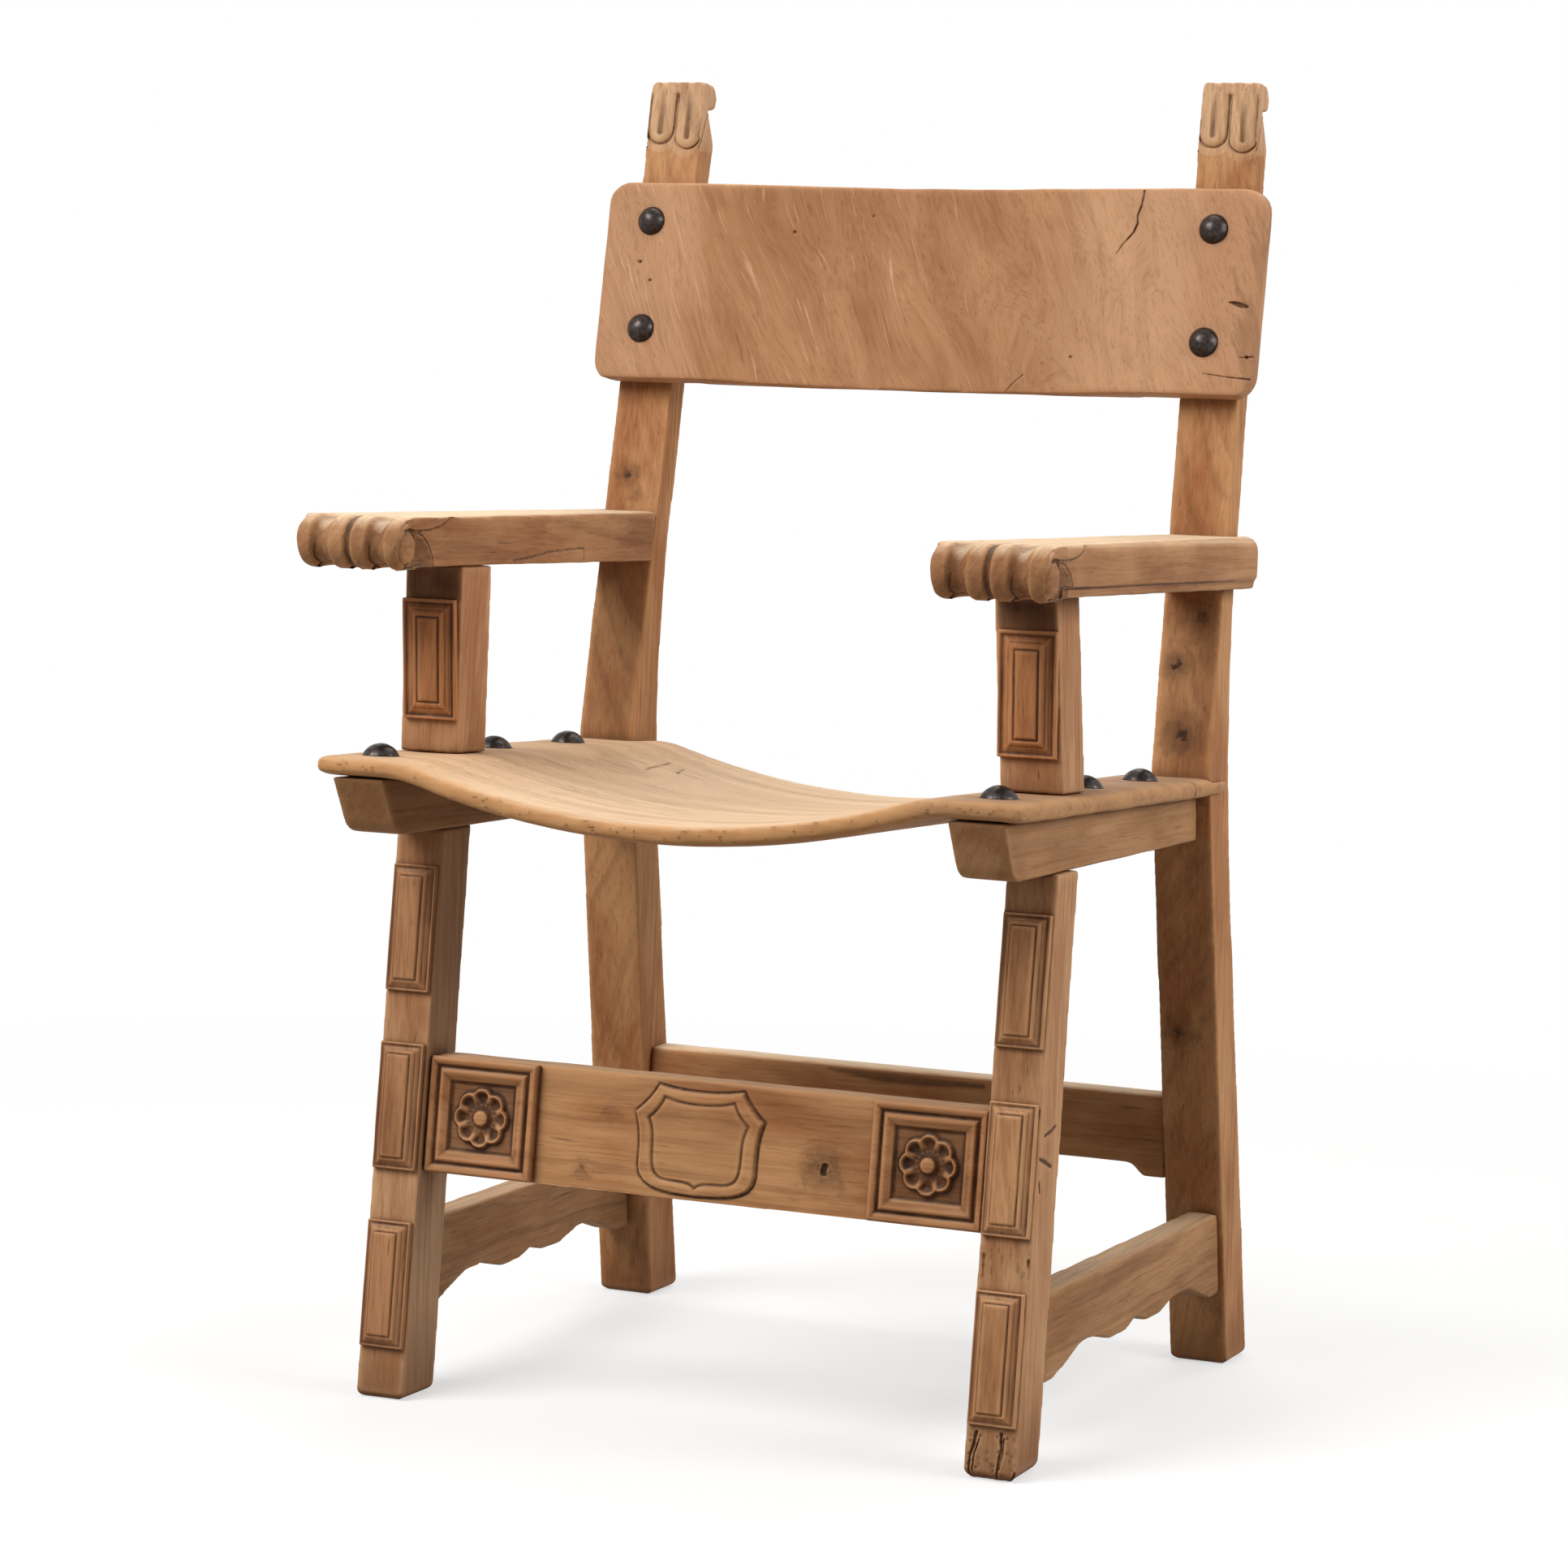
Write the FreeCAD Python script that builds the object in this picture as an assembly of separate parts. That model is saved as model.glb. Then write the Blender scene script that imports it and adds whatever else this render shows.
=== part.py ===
import FreeCAD, Part
import os
from math import atan, atan2, cos, degrees, pi, sin, sqrt, tan

from FreeCAD import Vector

# Joined hardwood armchair: a dished plank seat and a dished plank back on raked, panelled legs.
# Millimetres. X runs across the chair, Y from front to back and Z up from the floor.
# The right side is built and mirrored to the left. Depths are measured from a line across the
# middle of the seat, and the finished chair is moved so that its origin is under its centre.

# Whole chair
joint_gap = 0.15
overrun = 5.0
corner_share = 0.499

# Seat board: one wide plank, dished between the rails
seat_front = -287.0
seat_ear_length = 38.0
seat_overhang = 17.5
seat_thick = 16.5
seat_top_front = 533.5
seat_drop = 9.0
seat_dish = 36.0
seat_blend_radius = 100.0
seat_corner_radius = 20.0
seat_edge_radius = 6.0
seat_notch_gap = 0.5
dish_margin = 2.0

# Seat rails: side rails with sloping front ends, carried by the legs and the rear posts
rail_inner = 238.5
rail_width = 46.5
rail_height = 47.0
rail_setback = 8.0
rail_end_slope = 28.5
rail_end_radius = 24.0
rail_front = seat_front + rail_setback
rail_bottom = seat_top_front - seat_thick - rail_height
seat_half_width = rail_inner + rail_width + seat_overhang

# Front legs: raked lower legs under the seat rails
leg_width = 43.5
leg_set_out = 6.0
leg_top_front = -157.5
leg_foot_reach = 43.5
leg_top_depth = 50.0
leg_foot_depth = 57.0
leg_inner = rail_inner + leg_set_out
leg_foot_front = leg_top_front - leg_foot_reach

# Back board: one wide plank on the front faces of the rear posts
back_lift = 312.5
back_height = 181.0
back_overhang = 22.0
back_thick = 25.0
back_dish = 28.0
back_dish_margin = 5.5
back_blend_radius = 160.0
back_corner_radius = 22.0
back_edge_radius = 6.0
back_bottom = seat_top_front + back_lift
back_top = back_bottom + back_height

# Rear posts: one bent plank each, from the floor to the finial
post_rise = 93.0
post_thick = 53.0
post_splay = 8.0
post_lean = 18.0
post_foot_reach = 107.0
post_foot_depth = 59.0
post_knee_drop = 4.5
post_knee_front = 205.0
post_knee_radius = 60.0
post_knee_depth = 39.5
post_top_reach = 92.8
post_top_depth = 29.2
post_back_knee_rise = 46.0
post_back_radius = 850.0
chair_height = back_top + post_rise
post_foot_inner = leg_inner + post_splay
post_top_inner = post_foot_inner - post_lean
post_foot_front = post_knee_front + post_foot_reach
post_top_front = post_knee_front + post_top_reach
post_knee_height = seat_top_front - post_knee_drop
post_back_knee = post_knee_front + post_knee_depth
post_back_knee_height = post_knee_height + post_back_knee_rise
seat_rear = post_knee_front + seat_ear_length
back_half_width = post_top_inner + post_thick + back_overhang
back_dish_half_width = post_top_inner - back_dish_margin

# Finials: the top of each rear post, rolled back and carved with two fluted tongues
finial_height = 60.0
finial_depth = 26.5
finial_neck = 11.5
finial_brow_radius = 7.0
roll_radius = 12.0
bulge_height = 55.0
bulge_out = 3.0
bulge_radius = 20.0
tongue_raise = 2.5
tongue_width = 24.5
tongue_gap = 2.5
flute_width = 7.0
flute_depth = 2.5
flute_start = 11.0

# Arm posts: upper front posts that stand on the seat board
arm_height = 152.5
arm_post_width = 52.5
arm_post_set_in = 2.5
arm_post_lean = 7.0
arm_post_setback = 1.5
arm_post_rake = 12.5
arm_post_depth = 53.0
arm_bottom = seat_top_front + arm_height
arm_post_inner = rail_inner - arm_post_set_in
arm_post_front = leg_top_front + arm_post_setback

# Armrests: flat arms with scrolled and fluted front ends
arm_rear_thick = 45.0
arm_inner_overhang = 10.0
arm_outer_overhang = 36.0
arm_front_overhang = 129.0
scroll_radius = 21.5
scroll_drop = 3.5
arm_top_radius = 7.0
arm_bull_radius = 16.0
arm_rebate_width = 5.0
arm_rebate_height = 8.0
arm_ear_length = 32.0
arm_ear_radius = 22.0
arm_ear_gap = 0.3
lobe_groove_radius = 3.2
lobe_flute_radius = 12.0
lobe_flute_depth = 4.0
lobe_groove_length = 62.0
arm_inner_front = arm_post_inner - arm_post_lean - arm_inner_overhang
arm_outer = arm_post_inner - arm_post_lean + arm_post_width + arm_outer_overhang
scroll_front = arm_post_front - arm_post_rake - arm_front_overhang

# Front stretcher: a plank between the legs, with a shield carved in the solid
front_top = 283.5
front_height = 96.5
front_thick = 25.0
front_setback = 13.0

# Shield on the face of the front stretcher. Heights are shares of its own height.
shield_raise = 3.5
shield_top_margin = 4.5
shield_foot_margin = 4.0
shield_ear = 57.0
shield_shoulder = 36.0
shield_waist = 52.0
shield_ear_share = 0.727
shield_waist_share = 0.568
shield_base_share = 0.136
shield_top_sag = 4.0
shield_top_radius = 150.0
shield_base_radius = 16.0
shield_border = 9.0
shield_groove_width = 1.6
shield_groove_depth = 1.6

# Rosette blocks: carved squares planted on both ends of the front stretcher
block_width = 98.0
block_thick = 9.0
block_border = 8.0
block_groove_width = 2.0
block_groove_depth = 4.0
block_inner_border = 9.0
block_field_depth = 6.0
rosette_margin = 5.25
petal_count = 8
petal_radius_share = 0.358
petal_hollow_share = 0.275
petal_height = 5.0
petal_hollow_depth = 3.5
button_radius = 6.5
button_height = 5.5

# Rear stretcher, between the rear posts
rear_top = 239.0
rear_height = 63.0
rear_end_drop = 11.0
rear_end_length = 22.0
rear_setback = 11.0
rear_thick = 31.0
rear_bottom = rear_top - rear_height
rear_end_bottom = rear_bottom - rear_end_drop

# Side stretchers: low boards with a scalloped lower edge. Depths are below the top edge.
side_top = 139.0
side_thick = 28.0
side_end_depth = 73.0
side_rise_depth = 55.0
side_lobe_depth = 64.0
side_cusp_depth = 57.0
side_front_inset = 1.0
side_rear_inset = 4.0
side_end_bottom = side_top - side_end_depth
side_rise_bottom = side_top - side_rise_depth

# Planted panels on the legs and arm posts: a moulded frame round a bevelled tablet
panel_inset = 1.5
panel_thick = 6.0
panel_slope = 3.0
panel_border = 9.0
panel_groove_width = 2.0
panel_groove_depth = 3.5
tablet_raise = 3.0
tablet_bevel = 3.5
leg_panel_names = ("lower", "middle", "upper")
leg_panel_foot_gap = 42.0
leg_panel_head_gap = 31.0
leg_panel_gap = 41.0
leg_panel_gaps = leg_panel_foot_gap + leg_panel_head_gap + leg_panel_gap * 2
leg_panel_height = (rail_bottom - leg_panel_gaps) / len(leg_panel_names)
arm_panel_foot_gap = 25.0
arm_panel_head_gap = 27.5
arm_panel_height = arm_height - arm_panel_foot_gap - arm_panel_head_gap

# Tenons on the rails, stretchers, legs, posts and arms
tenon_shoulder = 6.5
tenon_cheek = 9.0
stretcher_tenon_length = 28.0
rail_tenon_length = 30.0
leg_tenon_web = 1.5
foot_tenon_web = 8.5
arm_post_top_tenon = 24.0
arm_tenon_length = 20.0
leg_tenon_length = rail_height / 2 - leg_tenon_web
arm_post_foot_tenon = rail_height / 2 - foot_tenon_web

# Domed iron studs with round shanks
seat_stud_radius = 15.0
seat_stud_height = 10.0
seat_stud_inset = 38.5
seat_stud_setbacks = (52.0, 256.0, 401.0)
back_stud_radius = 13.0
back_stud_height = 9.0
back_stud_inset = 45.5
back_stud_rise = 45.0
back_stud_drop = 39.0
shank_radius = 2.8
shank_length = 45.0
shank_gap = 0.1


def line_at(z, z0, y0, z1, y1):
    """Place along a straight edge that passes through (y0, z0) and (y1, z1)."""
    return y0 + (y1 - y0) * (z - z0) / (z1 - z0)


def post_front(z):
    """Front face of a rear post, above or below its knee."""
    if z < post_knee_height:
        return line_at(z, 0, post_foot_front, post_knee_height, post_knee_front)
    return line_at(z, post_knee_height, post_knee_front, chair_height, post_top_front)


def post_back(z):
    """Back face of a rear post, before its knee is rounded."""
    if z < post_back_knee_height:
        foot_back = post_foot_front + post_foot_depth
        return line_at(z, 0, foot_back, post_back_knee_height, post_back_knee)
    top_back = post_top_front + post_top_depth
    return line_at(z, post_back_knee_height, post_back_knee, chair_height, top_back)


def post_inner(z):
    """Inner face of the right rear post, which leans in towards the top."""
    return line_at(z, 0, post_foot_inner, chair_height, post_top_inner)


def leg_front(z):
    """Front face of a front leg."""
    return line_at(z, 0, leg_foot_front, rail_bottom, leg_top_front)


def leg_back(z):
    """Back face of a front leg."""
    foot_back = leg_foot_front + leg_foot_depth
    return line_at(z, 0, foot_back, rail_bottom, leg_top_front + leg_top_depth)


def seat_top(y):
    """Upper face of the flat sides of the seat board."""
    return line_at(y, seat_front, seat_top_front, seat_rear, seat_top_front - seat_drop)


def arm_post_face(z):
    """Front face of an arm post, which rakes forward towards the arm."""
    seat = seat_top_front
    return line_at(z, seat, arm_post_front, arm_bottom, arm_post_front - arm_post_rake)


def arm_post_side(z):
    """Inner face of the right arm post, which leans in towards the arm."""
    return line_at(z, seat_top_front, arm_post_inner, arm_bottom, arm_post_inner - arm_post_lean)


def rounded_wire(points, place):
    """Closed wire of lines and arcs. A third number at a point is its corner radius."""
    count = len(points)
    starts, ends, arcs = [], [], []
    for index in range(count):
        u, v = points[index][:2]
        radius = points[index][2] if len(points[index]) > 2 else 0
        before, after = points[index - 1], points[(index + 1) % count]
        run_in = sqrt((before[0] - u) ** 2 + (before[1] - v) ** 2)
        run_out = sqrt((after[0] - u) ** 2 + (after[1] - v) ** 2)
        in_u, in_v = (before[0] - u) / run_in, (before[1] - v) / run_in
        out_u, out_v = (after[0] - u) / run_out, (after[1] - v) / run_out
        half = atan2(abs(in_u * out_v - in_v * out_u), in_u * out_u + in_v * out_v) / 2
        if not radius:
            starts.append(place(u, v))
            ends.append(place(u, v))
            arcs.append(None)
            continue
        reach = min(radius / tan(half), corner_share * run_in, corner_share * run_out)
        fitted = reach * tan(half)
        mid_u, mid_v = in_u + out_u, in_v + out_v
        mid = sqrt(mid_u ** 2 + mid_v ** 2)
        depth = fitted / sin(half) - fitted
        starts.append(place(u + in_u * reach, v + in_v * reach))
        ends.append(place(u + out_u * reach, v + out_v * reach))
        arcs.append(place(u + mid_u / mid * depth, v + mid_v / mid * depth))
    edges = []
    for index in range(count):
        if arcs[index]:
            edges.append(Part.Arc(starts[index], arcs[index], ends[index]).toShape())
        edges.append(Part.makeLine(ends[index], starts[(index + 1) % count]))
    return Part.Wire(edges)


def prism_x(points, x0, x1):
    """Solid from a side outline of (y, z) points, drawn out across the chair."""
    wire = rounded_wire(points, lambda y, z: Vector(x0, y, z))
    return Part.Face(wire).extrude(Vector(x1 - x0, 0, 0))


def prism_y(points, y0, y1):
    """Solid from a front outline of (x, z) points, drawn out from front to back."""
    wire = rounded_wire(points, lambda x, z: Vector(x, y0, z))
    return Part.Face(wire).extrude(Vector(0, y1 - y0, 0))


def prism_z(points, z0, z1):
    """Solid from a plan outline of (x, y) points, drawn up."""
    wire = rounded_wire(points, lambda x, y: Vector(x, y, z0))
    return Part.Face(wire).extrude(Vector(0, 0, z1 - z0))


def block(x0, x1, y0, y1, z0, z1, grow=0):
    """Box between two corners, made larger on every side for a mortise."""
    size = (x1 - x0 + grow + grow, y1 - y0 + grow + grow, z1 - z0 + grow + grow)
    return Part.makeBox(*size, Vector(x0 - grow, y0 - grow, z0 - grow))


def mirrored(shape):
    """The same piece on the left side of the chair."""
    return shape.mirror(Vector(0, 0, 0), Vector(1, 0, 0))


def frustum(width, height, depth, bevel):
    """Bevelled tablet on the plane y = 0, facing the front and centred on its own middle."""
    w, h = width / 2, height / 2
    return Part.makeWedge(bevel - w, -depth, bevel - h, -h, -w, w - bevel, 0, h - bevel, h, w)


def ring(width, height, wall, depth, y):
    """Square frame on its own middle, from y forward by its depth."""
    outer = block(-width / 2, width / 2, y - depth, y, -height / 2, height / 2)
    return outer.cut(block(wall - width / 2, width / 2 - wall, y - depth - overrun, y + overrun,
                           wall - height / 2, height / 2 - wall))


def laid_on(shape, x, y, z, rake):
    """Tip a piece that was built upright and set it on a raked face."""
    moved = shape.copy()
    moved.rotate(Vector(0, 0, 0), Vector(1, 0, 0), rake)
    moved.translate(Vector(x, y, z))
    return moved


leg_rake = -degrees(atan((leg_top_front - leg_foot_front) / rail_bottom))
arm_post_tilt = degrees(atan(arm_post_rake / (arm_bottom - seat_top_front)))
seat_length = seat_rear - seat_front
arm_post_middle = arm_post_front + arm_post_depth / 2
seat_at_arm_post = seat_top(arm_post_middle)
stretcher_tenon_thick = front_thick - tenon_shoulder * 2
rear_front = post_front(rear_bottom + rear_height / 2) + rear_setback


def dished_section(half_width, dish_half, dish, blend, thick, edge, place):
    """Face of a plank whose middle is dished: flat sides, two reverse bends and a wide arc."""
    dish_radius = (dish_half ** 2 + dish ** 2) / (dish + dish) - blend
    turn = atan2(dish_half, dish_radius + blend - dish)

    def half_points(offset):
        bend = blend - offset
        rise = -offset
        meet = (dish_half - bend * sin(turn), bend * cos(turn) - blend)
        middle_bend = (dish_half - bend * sin(turn / 2), bend * cos(turn / 2) - blend)
        return rise, meet, middle_bend

    def bend_edges(offset):
        rise, meet, bend = half_points(offset)
        bottom = -dish - offset
        left = Part.Arc(place(-dish_half, rise), place(-bend[0], bend[1]), place(-meet[0], meet[1]))
        bowl = Part.Arc(place(-meet[0], meet[1]), place(0, bottom), place(*meet))
        right = Part.Arc(place(*meet), place(*bend), place(dish_half, rise))
        return [left.toShape(), bowl.toShape(), right.toShape()]

    def side_edges(sign):
        tip = sign * half_width
        shoulder = sign * (half_width - edge)
        slack = edge - edge * cos(pi / 4)
        near, far = place(shoulder, 0), place(shoulder, -thick)
        upper, lower = place(tip, -edge), place(tip, edge - thick)
        return [Part.makeLine(place(sign * dish_half, 0), near),
                Part.Arc(near, place(tip - sign * slack, -slack), upper).toShape(),
                Part.makeLine(upper, lower),
                Part.Arc(lower, place(tip - sign * slack, slack - thick), far).toShape(),
                Part.makeLine(far, place(sign * dish_half, -thick))]

    edges = bend_edges(0) + side_edges(1) + bend_edges(thick) + side_edges(-1)
    return Part.Face(Part.Wire(Part.__sortEdges__(edges)))


def seat_board():
    """Seat plank: dished section, rounded front corners, notched round the rear posts."""
    section = dished_section(seat_half_width, rail_inner - dish_margin, seat_dish,
                             seat_blend_radius, seat_thick, seat_edge_radius,
                             lambda x, z: Vector(x, seat_front, seat_top_front + z))
    board = section.extrude(Vector(0, seat_length, -seat_drop))
    low = seat_top_front - seat_dish - seat_thick - seat_drop - overrun
    high = seat_top_front + overrun
    corner = seat_corner_radius
    plan = [(-seat_half_width, seat_front, corner), (seat_half_width, seat_front, corner),
            (seat_half_width, seat_rear, seat_edge_radius),
            (-seat_half_width, seat_rear, seat_edge_radius)]
    board = board.common(prism_z(plan, low, high))
    post_z = seat_top(seat_rear)
    notch = block(post_inner(post_z) - seat_notch_gap,
                  post_inner(post_z - seat_thick) + post_thick + seat_notch_gap,
                  post_knee_front - seat_notch_gap, seat_rear + overrun, low, high)
    return board.cut(notch).cut(mirrored(notch))


def rear_post():
    """Right rear post with its finial, before the mortises are cut."""
    tongue_bottom = chair_height - finial_height
    roll_low = chair_height - roll_radius - roll_radius
    bulge = chair_height - bulge_height
    x0 = min(post_inner(chair_height), post_inner(0)) - overrun
    x1 = x0 + post_thick + abs(post_foot_inner - post_top_inner) + overrun + overrun

    side = [(post_foot_front, 0), (post_knee_front, post_knee_height, post_knee_radius),
            (post_front(roll_low), roll_low), (post_front(roll_low) + finial_neck, roll_low),
            (post_back(bulge) + bulge_out, bulge, bulge_radius),
            (post_back(tongue_bottom - bulge_height), tongue_bottom - bulge_height),
            (post_back_knee, post_back_knee_height, post_back_radius), (post_back(0), 0)]

    def finial(raise_by, inset):
        front = inset - raise_by
        back = post_top_front + finial_depth - inset
        top = chair_height - inset
        return prism_x([(post_front(tongue_bottom) + front, tongue_bottom),
                        (post_top_front + front, top, finial_brow_radius),
                        (back, top, roll_radius - inset), (back, roll_low + inset, roll_radius - inset),
                        (post_front(roll_low) + finial_neck - inset, roll_low + inset),
                        (post_front(tongue_bottom) + finial_neck - inset, tongue_bottom)], x0, x1)

    middle = post_inner(tongue_bottom) + post_thick / 2
    tongues, flutes = [], []
    for sign in (-1, 1):
        near = middle + sign * tongue_gap / 2
        far = near + sign * tongue_width
        centre = (near + far) / 2
        front, back, high = post_knee_front, post_foot_front + post_foot_depth, chair_height + overrun
        radius = tongue_width / 2
        tongues.append(prism_y([(near, high), (near, tongue_bottom, radius),
                                (far, tongue_bottom, radius), (far, high)], front, back))
        half, start = flute_width / 2, tongue_bottom + flute_start
        flutes.append(prism_y([(centre - half, high), (centre - half, start, half),
                               (centre + half, start, half), (centre + half, high)], front, back))

    raised = finial(tongue_raise, 0)
    post = prism_x(side, x0, x1).fuse(finial(0, 0)).fuse(raised.common(tongues[0].fuse(tongues[1])))
    grooves = raised.cut(finial(tongue_raise, flute_depth)).common(flutes[0].fuse(flutes[1]))
    post = post.cut(grooves)
    lean = [(post_foot_inner, 0), (post_foot_inner + post_thick, 0),
            (post_top_inner + post_thick, chair_height), (post_top_inner, chair_height)]
    return post.common(prism_y(lean, 0, post_foot_front + post_foot_depth + overrun)).removeSplitter()


def front_leg():
    """Right lower leg, up to the underside of the seat rail."""
    side = [(leg_front(0), 0), (leg_front(rail_bottom), rail_bottom),
            (leg_back(rail_bottom), rail_bottom), (leg_back(0), 0)]
    return prism_x(side, leg_inner, leg_inner + leg_width)


def leg_tenon(grow=0):
    """Stub tenon on top of the front leg, inside the seat rail."""
    x0 = max(leg_inner, rail_inner) + tenon_cheek
    x1 = min(leg_inner + leg_width, rail_inner + rail_width) - tenon_cheek
    return block(x0, x1, leg_front(rail_bottom) + tenon_cheek,
                 leg_back(rail_bottom) - tenon_cheek,
                 rail_bottom, rail_bottom + leg_tenon_length, grow)


def seat_rail():
    """Right seat rail: sloping front end, top that follows the seat, butted to the post."""
    past = post_front(rail_bottom) + overrun
    side = [(rail_front, seat_top(rail_front) - seat_thick),
            (rail_front + rail_end_slope, rail_bottom, rail_end_radius),
            (past, rail_bottom), (past, seat_top(past) - seat_thick)]
    outer = rail_inner + rail_width
    rail = prism_x(side, rail_inner, outer)
    return rail.cut(behind_post(rail_bottom - overrun, seat_top_front, rail_inner, outer))


def behind_post(low, high, x0, x1):
    """Space behind the front face of a rear post, for trimming what butts against it."""
    far = post_foot_front + post_foot_depth + overrun
    heights = [low, high]
    if low < post_knee_height < high:
        heights.insert(1, post_knee_height)
    return prism_x([(post_front(z), z) for z in heights] + [(far, high), (far, low)], x0, x1)


def rail_tenon(grow=0):
    """Tenon of the seat rail, inside the front of the rear post."""
    top = seat_top(post_knee_front) - seat_thick - tenon_shoulder
    start = post_front(top)
    x0 = rail_inner + tenon_cheek
    return block(x0, rail_inner + rail_width - tenon_cheek, start, start + rail_tenon_length,
                 rail_bottom + tenon_shoulder, top, grow)


def arm_post():
    """Right arm post: stands on the seat board and leans in and forward to the arm."""
    low, high = seat_top_front - seat_drop - overrun, arm_bottom
    side = [(arm_post_face(z), z) for z in (low, high)]
    side += [(arm_post_face(z) + arm_post_depth, z) for z in (high, low)]
    front = [(arm_post_side(z), z) for z in (low, high)]
    front += [(arm_post_side(z) + arm_post_width, z) for z in (high, low)]
    x0, x1 = arm_post_inner - arm_post_width, arm_post_inner + arm_post_width + arm_post_width
    post = prism_x(side, x0, x1).common(prism_y(front, seat_front, seat_rear))
    under = prism_x([(seat_front, seat_top(seat_front)), (seat_rear, seat_top(seat_rear)),
                     (seat_rear, low - overrun), (seat_front, low - overrun)], x0, x1)
    return post.cut(under)


def arm_post_foot(grow=0):
    """Tenon under the arm post, through the seat board and into the seat rail."""
    x0 = max(arm_post_inner, rail_inner) + tenon_cheek
    x1 = min(arm_post_inner + arm_post_width, rail_inner + rail_width) - tenon_cheek
    y0 = arm_post_front + tenon_cheek
    low = seat_at_arm_post - seat_thick - arm_post_foot_tenon
    return block(x0, x1, y0, arm_post_front + arm_post_depth - tenon_cheek,
                 low, seat_at_arm_post + overrun, grow)


def arm_post_head(grow=0):
    """Tenon on top of the arm post, inside the armrest."""
    x0 = arm_post_inner - arm_post_lean + tenon_cheek
    y0 = arm_post_front - arm_post_rake + tenon_cheek
    wide = arm_post_width - tenon_cheek * 2
    deep = arm_post_depth - tenon_cheek * 2
    return block(x0, x0 + wide, y0, y0 + deep, arm_bottom, arm_bottom + arm_post_top_tenon, grow)


def armrest():
    """Right armrest: scrolled front with four lobes, bullnosed outer side, ear past the post."""
    scroll_y = scroll_front + scroll_radius
    scroll_z = arm_bottom - scroll_drop + scroll_radius
    rear_top_z = arm_bottom + arm_rear_thick
    butt = post_front(rear_top_z)
    rear = butt + arm_ear_length
    inner_rear = post_inner(rear_top_z)
    x0, x1 = arm_inner_front - overrun, arm_outer + overrun
    side = [(scroll_y, scroll_z + scroll_radius), (rear, rear_top_z), (rear, arm_bottom),
            (scroll_y + scroll_radius, arm_bottom), (scroll_y, arm_bottom - scroll_drop)]
    body = prism_x(side, x0, x1)
    body = body.fuse(Part.makeCylinder(scroll_radius, x1 - x0, Vector(x0, scroll_y, scroll_z),
                                       Vector(1, 0, 0)))
    plan = [(arm_inner_front, scroll_front - overrun), (arm_outer, scroll_front - overrun),
            (arm_outer, rear, arm_ear_radius), (inner_rear, rear), (inner_rear, butt)]
    low, high = arm_bottom - scroll_drop - overrun, rear_top_z + overrun
    arm = body.common(prism_z(plan, low, high))
    strip = arm_outer - arm_rebate_width
    section = [(arm_inner_front - overrun, arm_bottom - scroll_drop),
               (strip, arm_bottom - scroll_drop), (strip, arm_bottom + arm_rebate_height),
               (arm_outer, arm_bottom + arm_rebate_height, arm_top_radius),
               (arm_outer, rear_top_z, arm_bull_radius),
               (arm_inner_front - overrun, rear_top_z)]
    scroll_end = scroll_y + scroll_radius
    arm = arm.common(prism_y(section, scroll_end, rear).fuse(
        block(x0, x1, scroll_front - overrun, scroll_end, low, high)))
    centre = (arm_inner_front + arm_outer) / 2
    quarter = (arm_outer - arm_inner_front) / 4
    flute_lift = lobe_flute_radius - lobe_flute_depth
    arm = arm.cut(lobe_cut(centre, lobe_groove_radius, 0, scroll_y, scroll_z))
    for x in (centre - quarter, centre + quarter):
        arm = arm.cut(lobe_cut(x, lobe_flute_radius, flute_lift, scroll_y, scroll_z))
    post_outer = post_inner(arm_bottom) + post_thick + arm_ear_gap
    return arm.cut(behind_post(low, high, inner_rear - overrun, post_outer)).removeSplitter()


def lobe_cut(x, radius, lift, scroll_y, scroll_z):
    """Hollow that runs along the top, round the scroll and back underneath."""
    reach = scroll_radius + lift
    ring_face = Part.Face(Part.Wire(Part.makeCircle(radius, Vector(x, scroll_y, scroll_z + reach),
                                                    Vector(0, 1, 0))))
    turn = ring_face.revolve(Vector(x, scroll_y, scroll_z), Vector(1, 0, 0), degrees(pi))
    run = Vector(0, lobe_groove_length, radius - lift + lobe_flute_depth)
    top = ring_face.extrude(run)
    under_face = Part.Face(Part.Wire(Part.makeCircle(radius, Vector(x, scroll_y, scroll_z - reach),
                                                     Vector(0, 1, 0))))
    under = under_face.extrude(Vector(0, scroll_radius, -scroll_drop))
    return turn.fuse(top).fuse(under)


def arm_tenon(grow=0):
    """Tenon on the rear end of the armrest, inside the rear post."""
    top = arm_bottom + arm_rear_thick - tenon_shoulder
    low = arm_bottom + arm_rebate_height
    x0 = post_inner(low) + tenon_cheek
    start = post_front(low)
    return block(x0, post_inner(top) + post_thick - tenon_cheek, start,
                 post_front(top) + arm_tenon_length, low, top, grow)


def back_board():
    """Back plank: dished section drawn up along the rake of the posts."""
    lean = Vector(0, post_front(back_top) - post_front(back_bottom), back_top - back_bottom)
    up = Vector(lean)
    up.normalize()
    forward = Vector(0, up.z, -up.y)
    start = Vector(0, post_front(back_bottom), back_bottom)

    def place(x, depth):
        return start + Vector(x, 0, 0) - forward * (back_thick + depth)

    section = dished_section(back_half_width, back_dish_half_width, back_dish, back_blend_radius,
                             back_thick, back_edge_radius, place)
    board = section.extrude(lean)
    half, corner = back_half_width, back_corner_radius
    front = [(-half, back_bottom, corner), (half, back_bottom, corner),
             (half, back_top, corner), (-half, back_top, corner)]
    mask = prism_y(front, post_front(back_bottom) - back_thick - back_thick,
                   post_back(back_top) + back_thick + back_dish)
    return board.common(mask)


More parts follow.
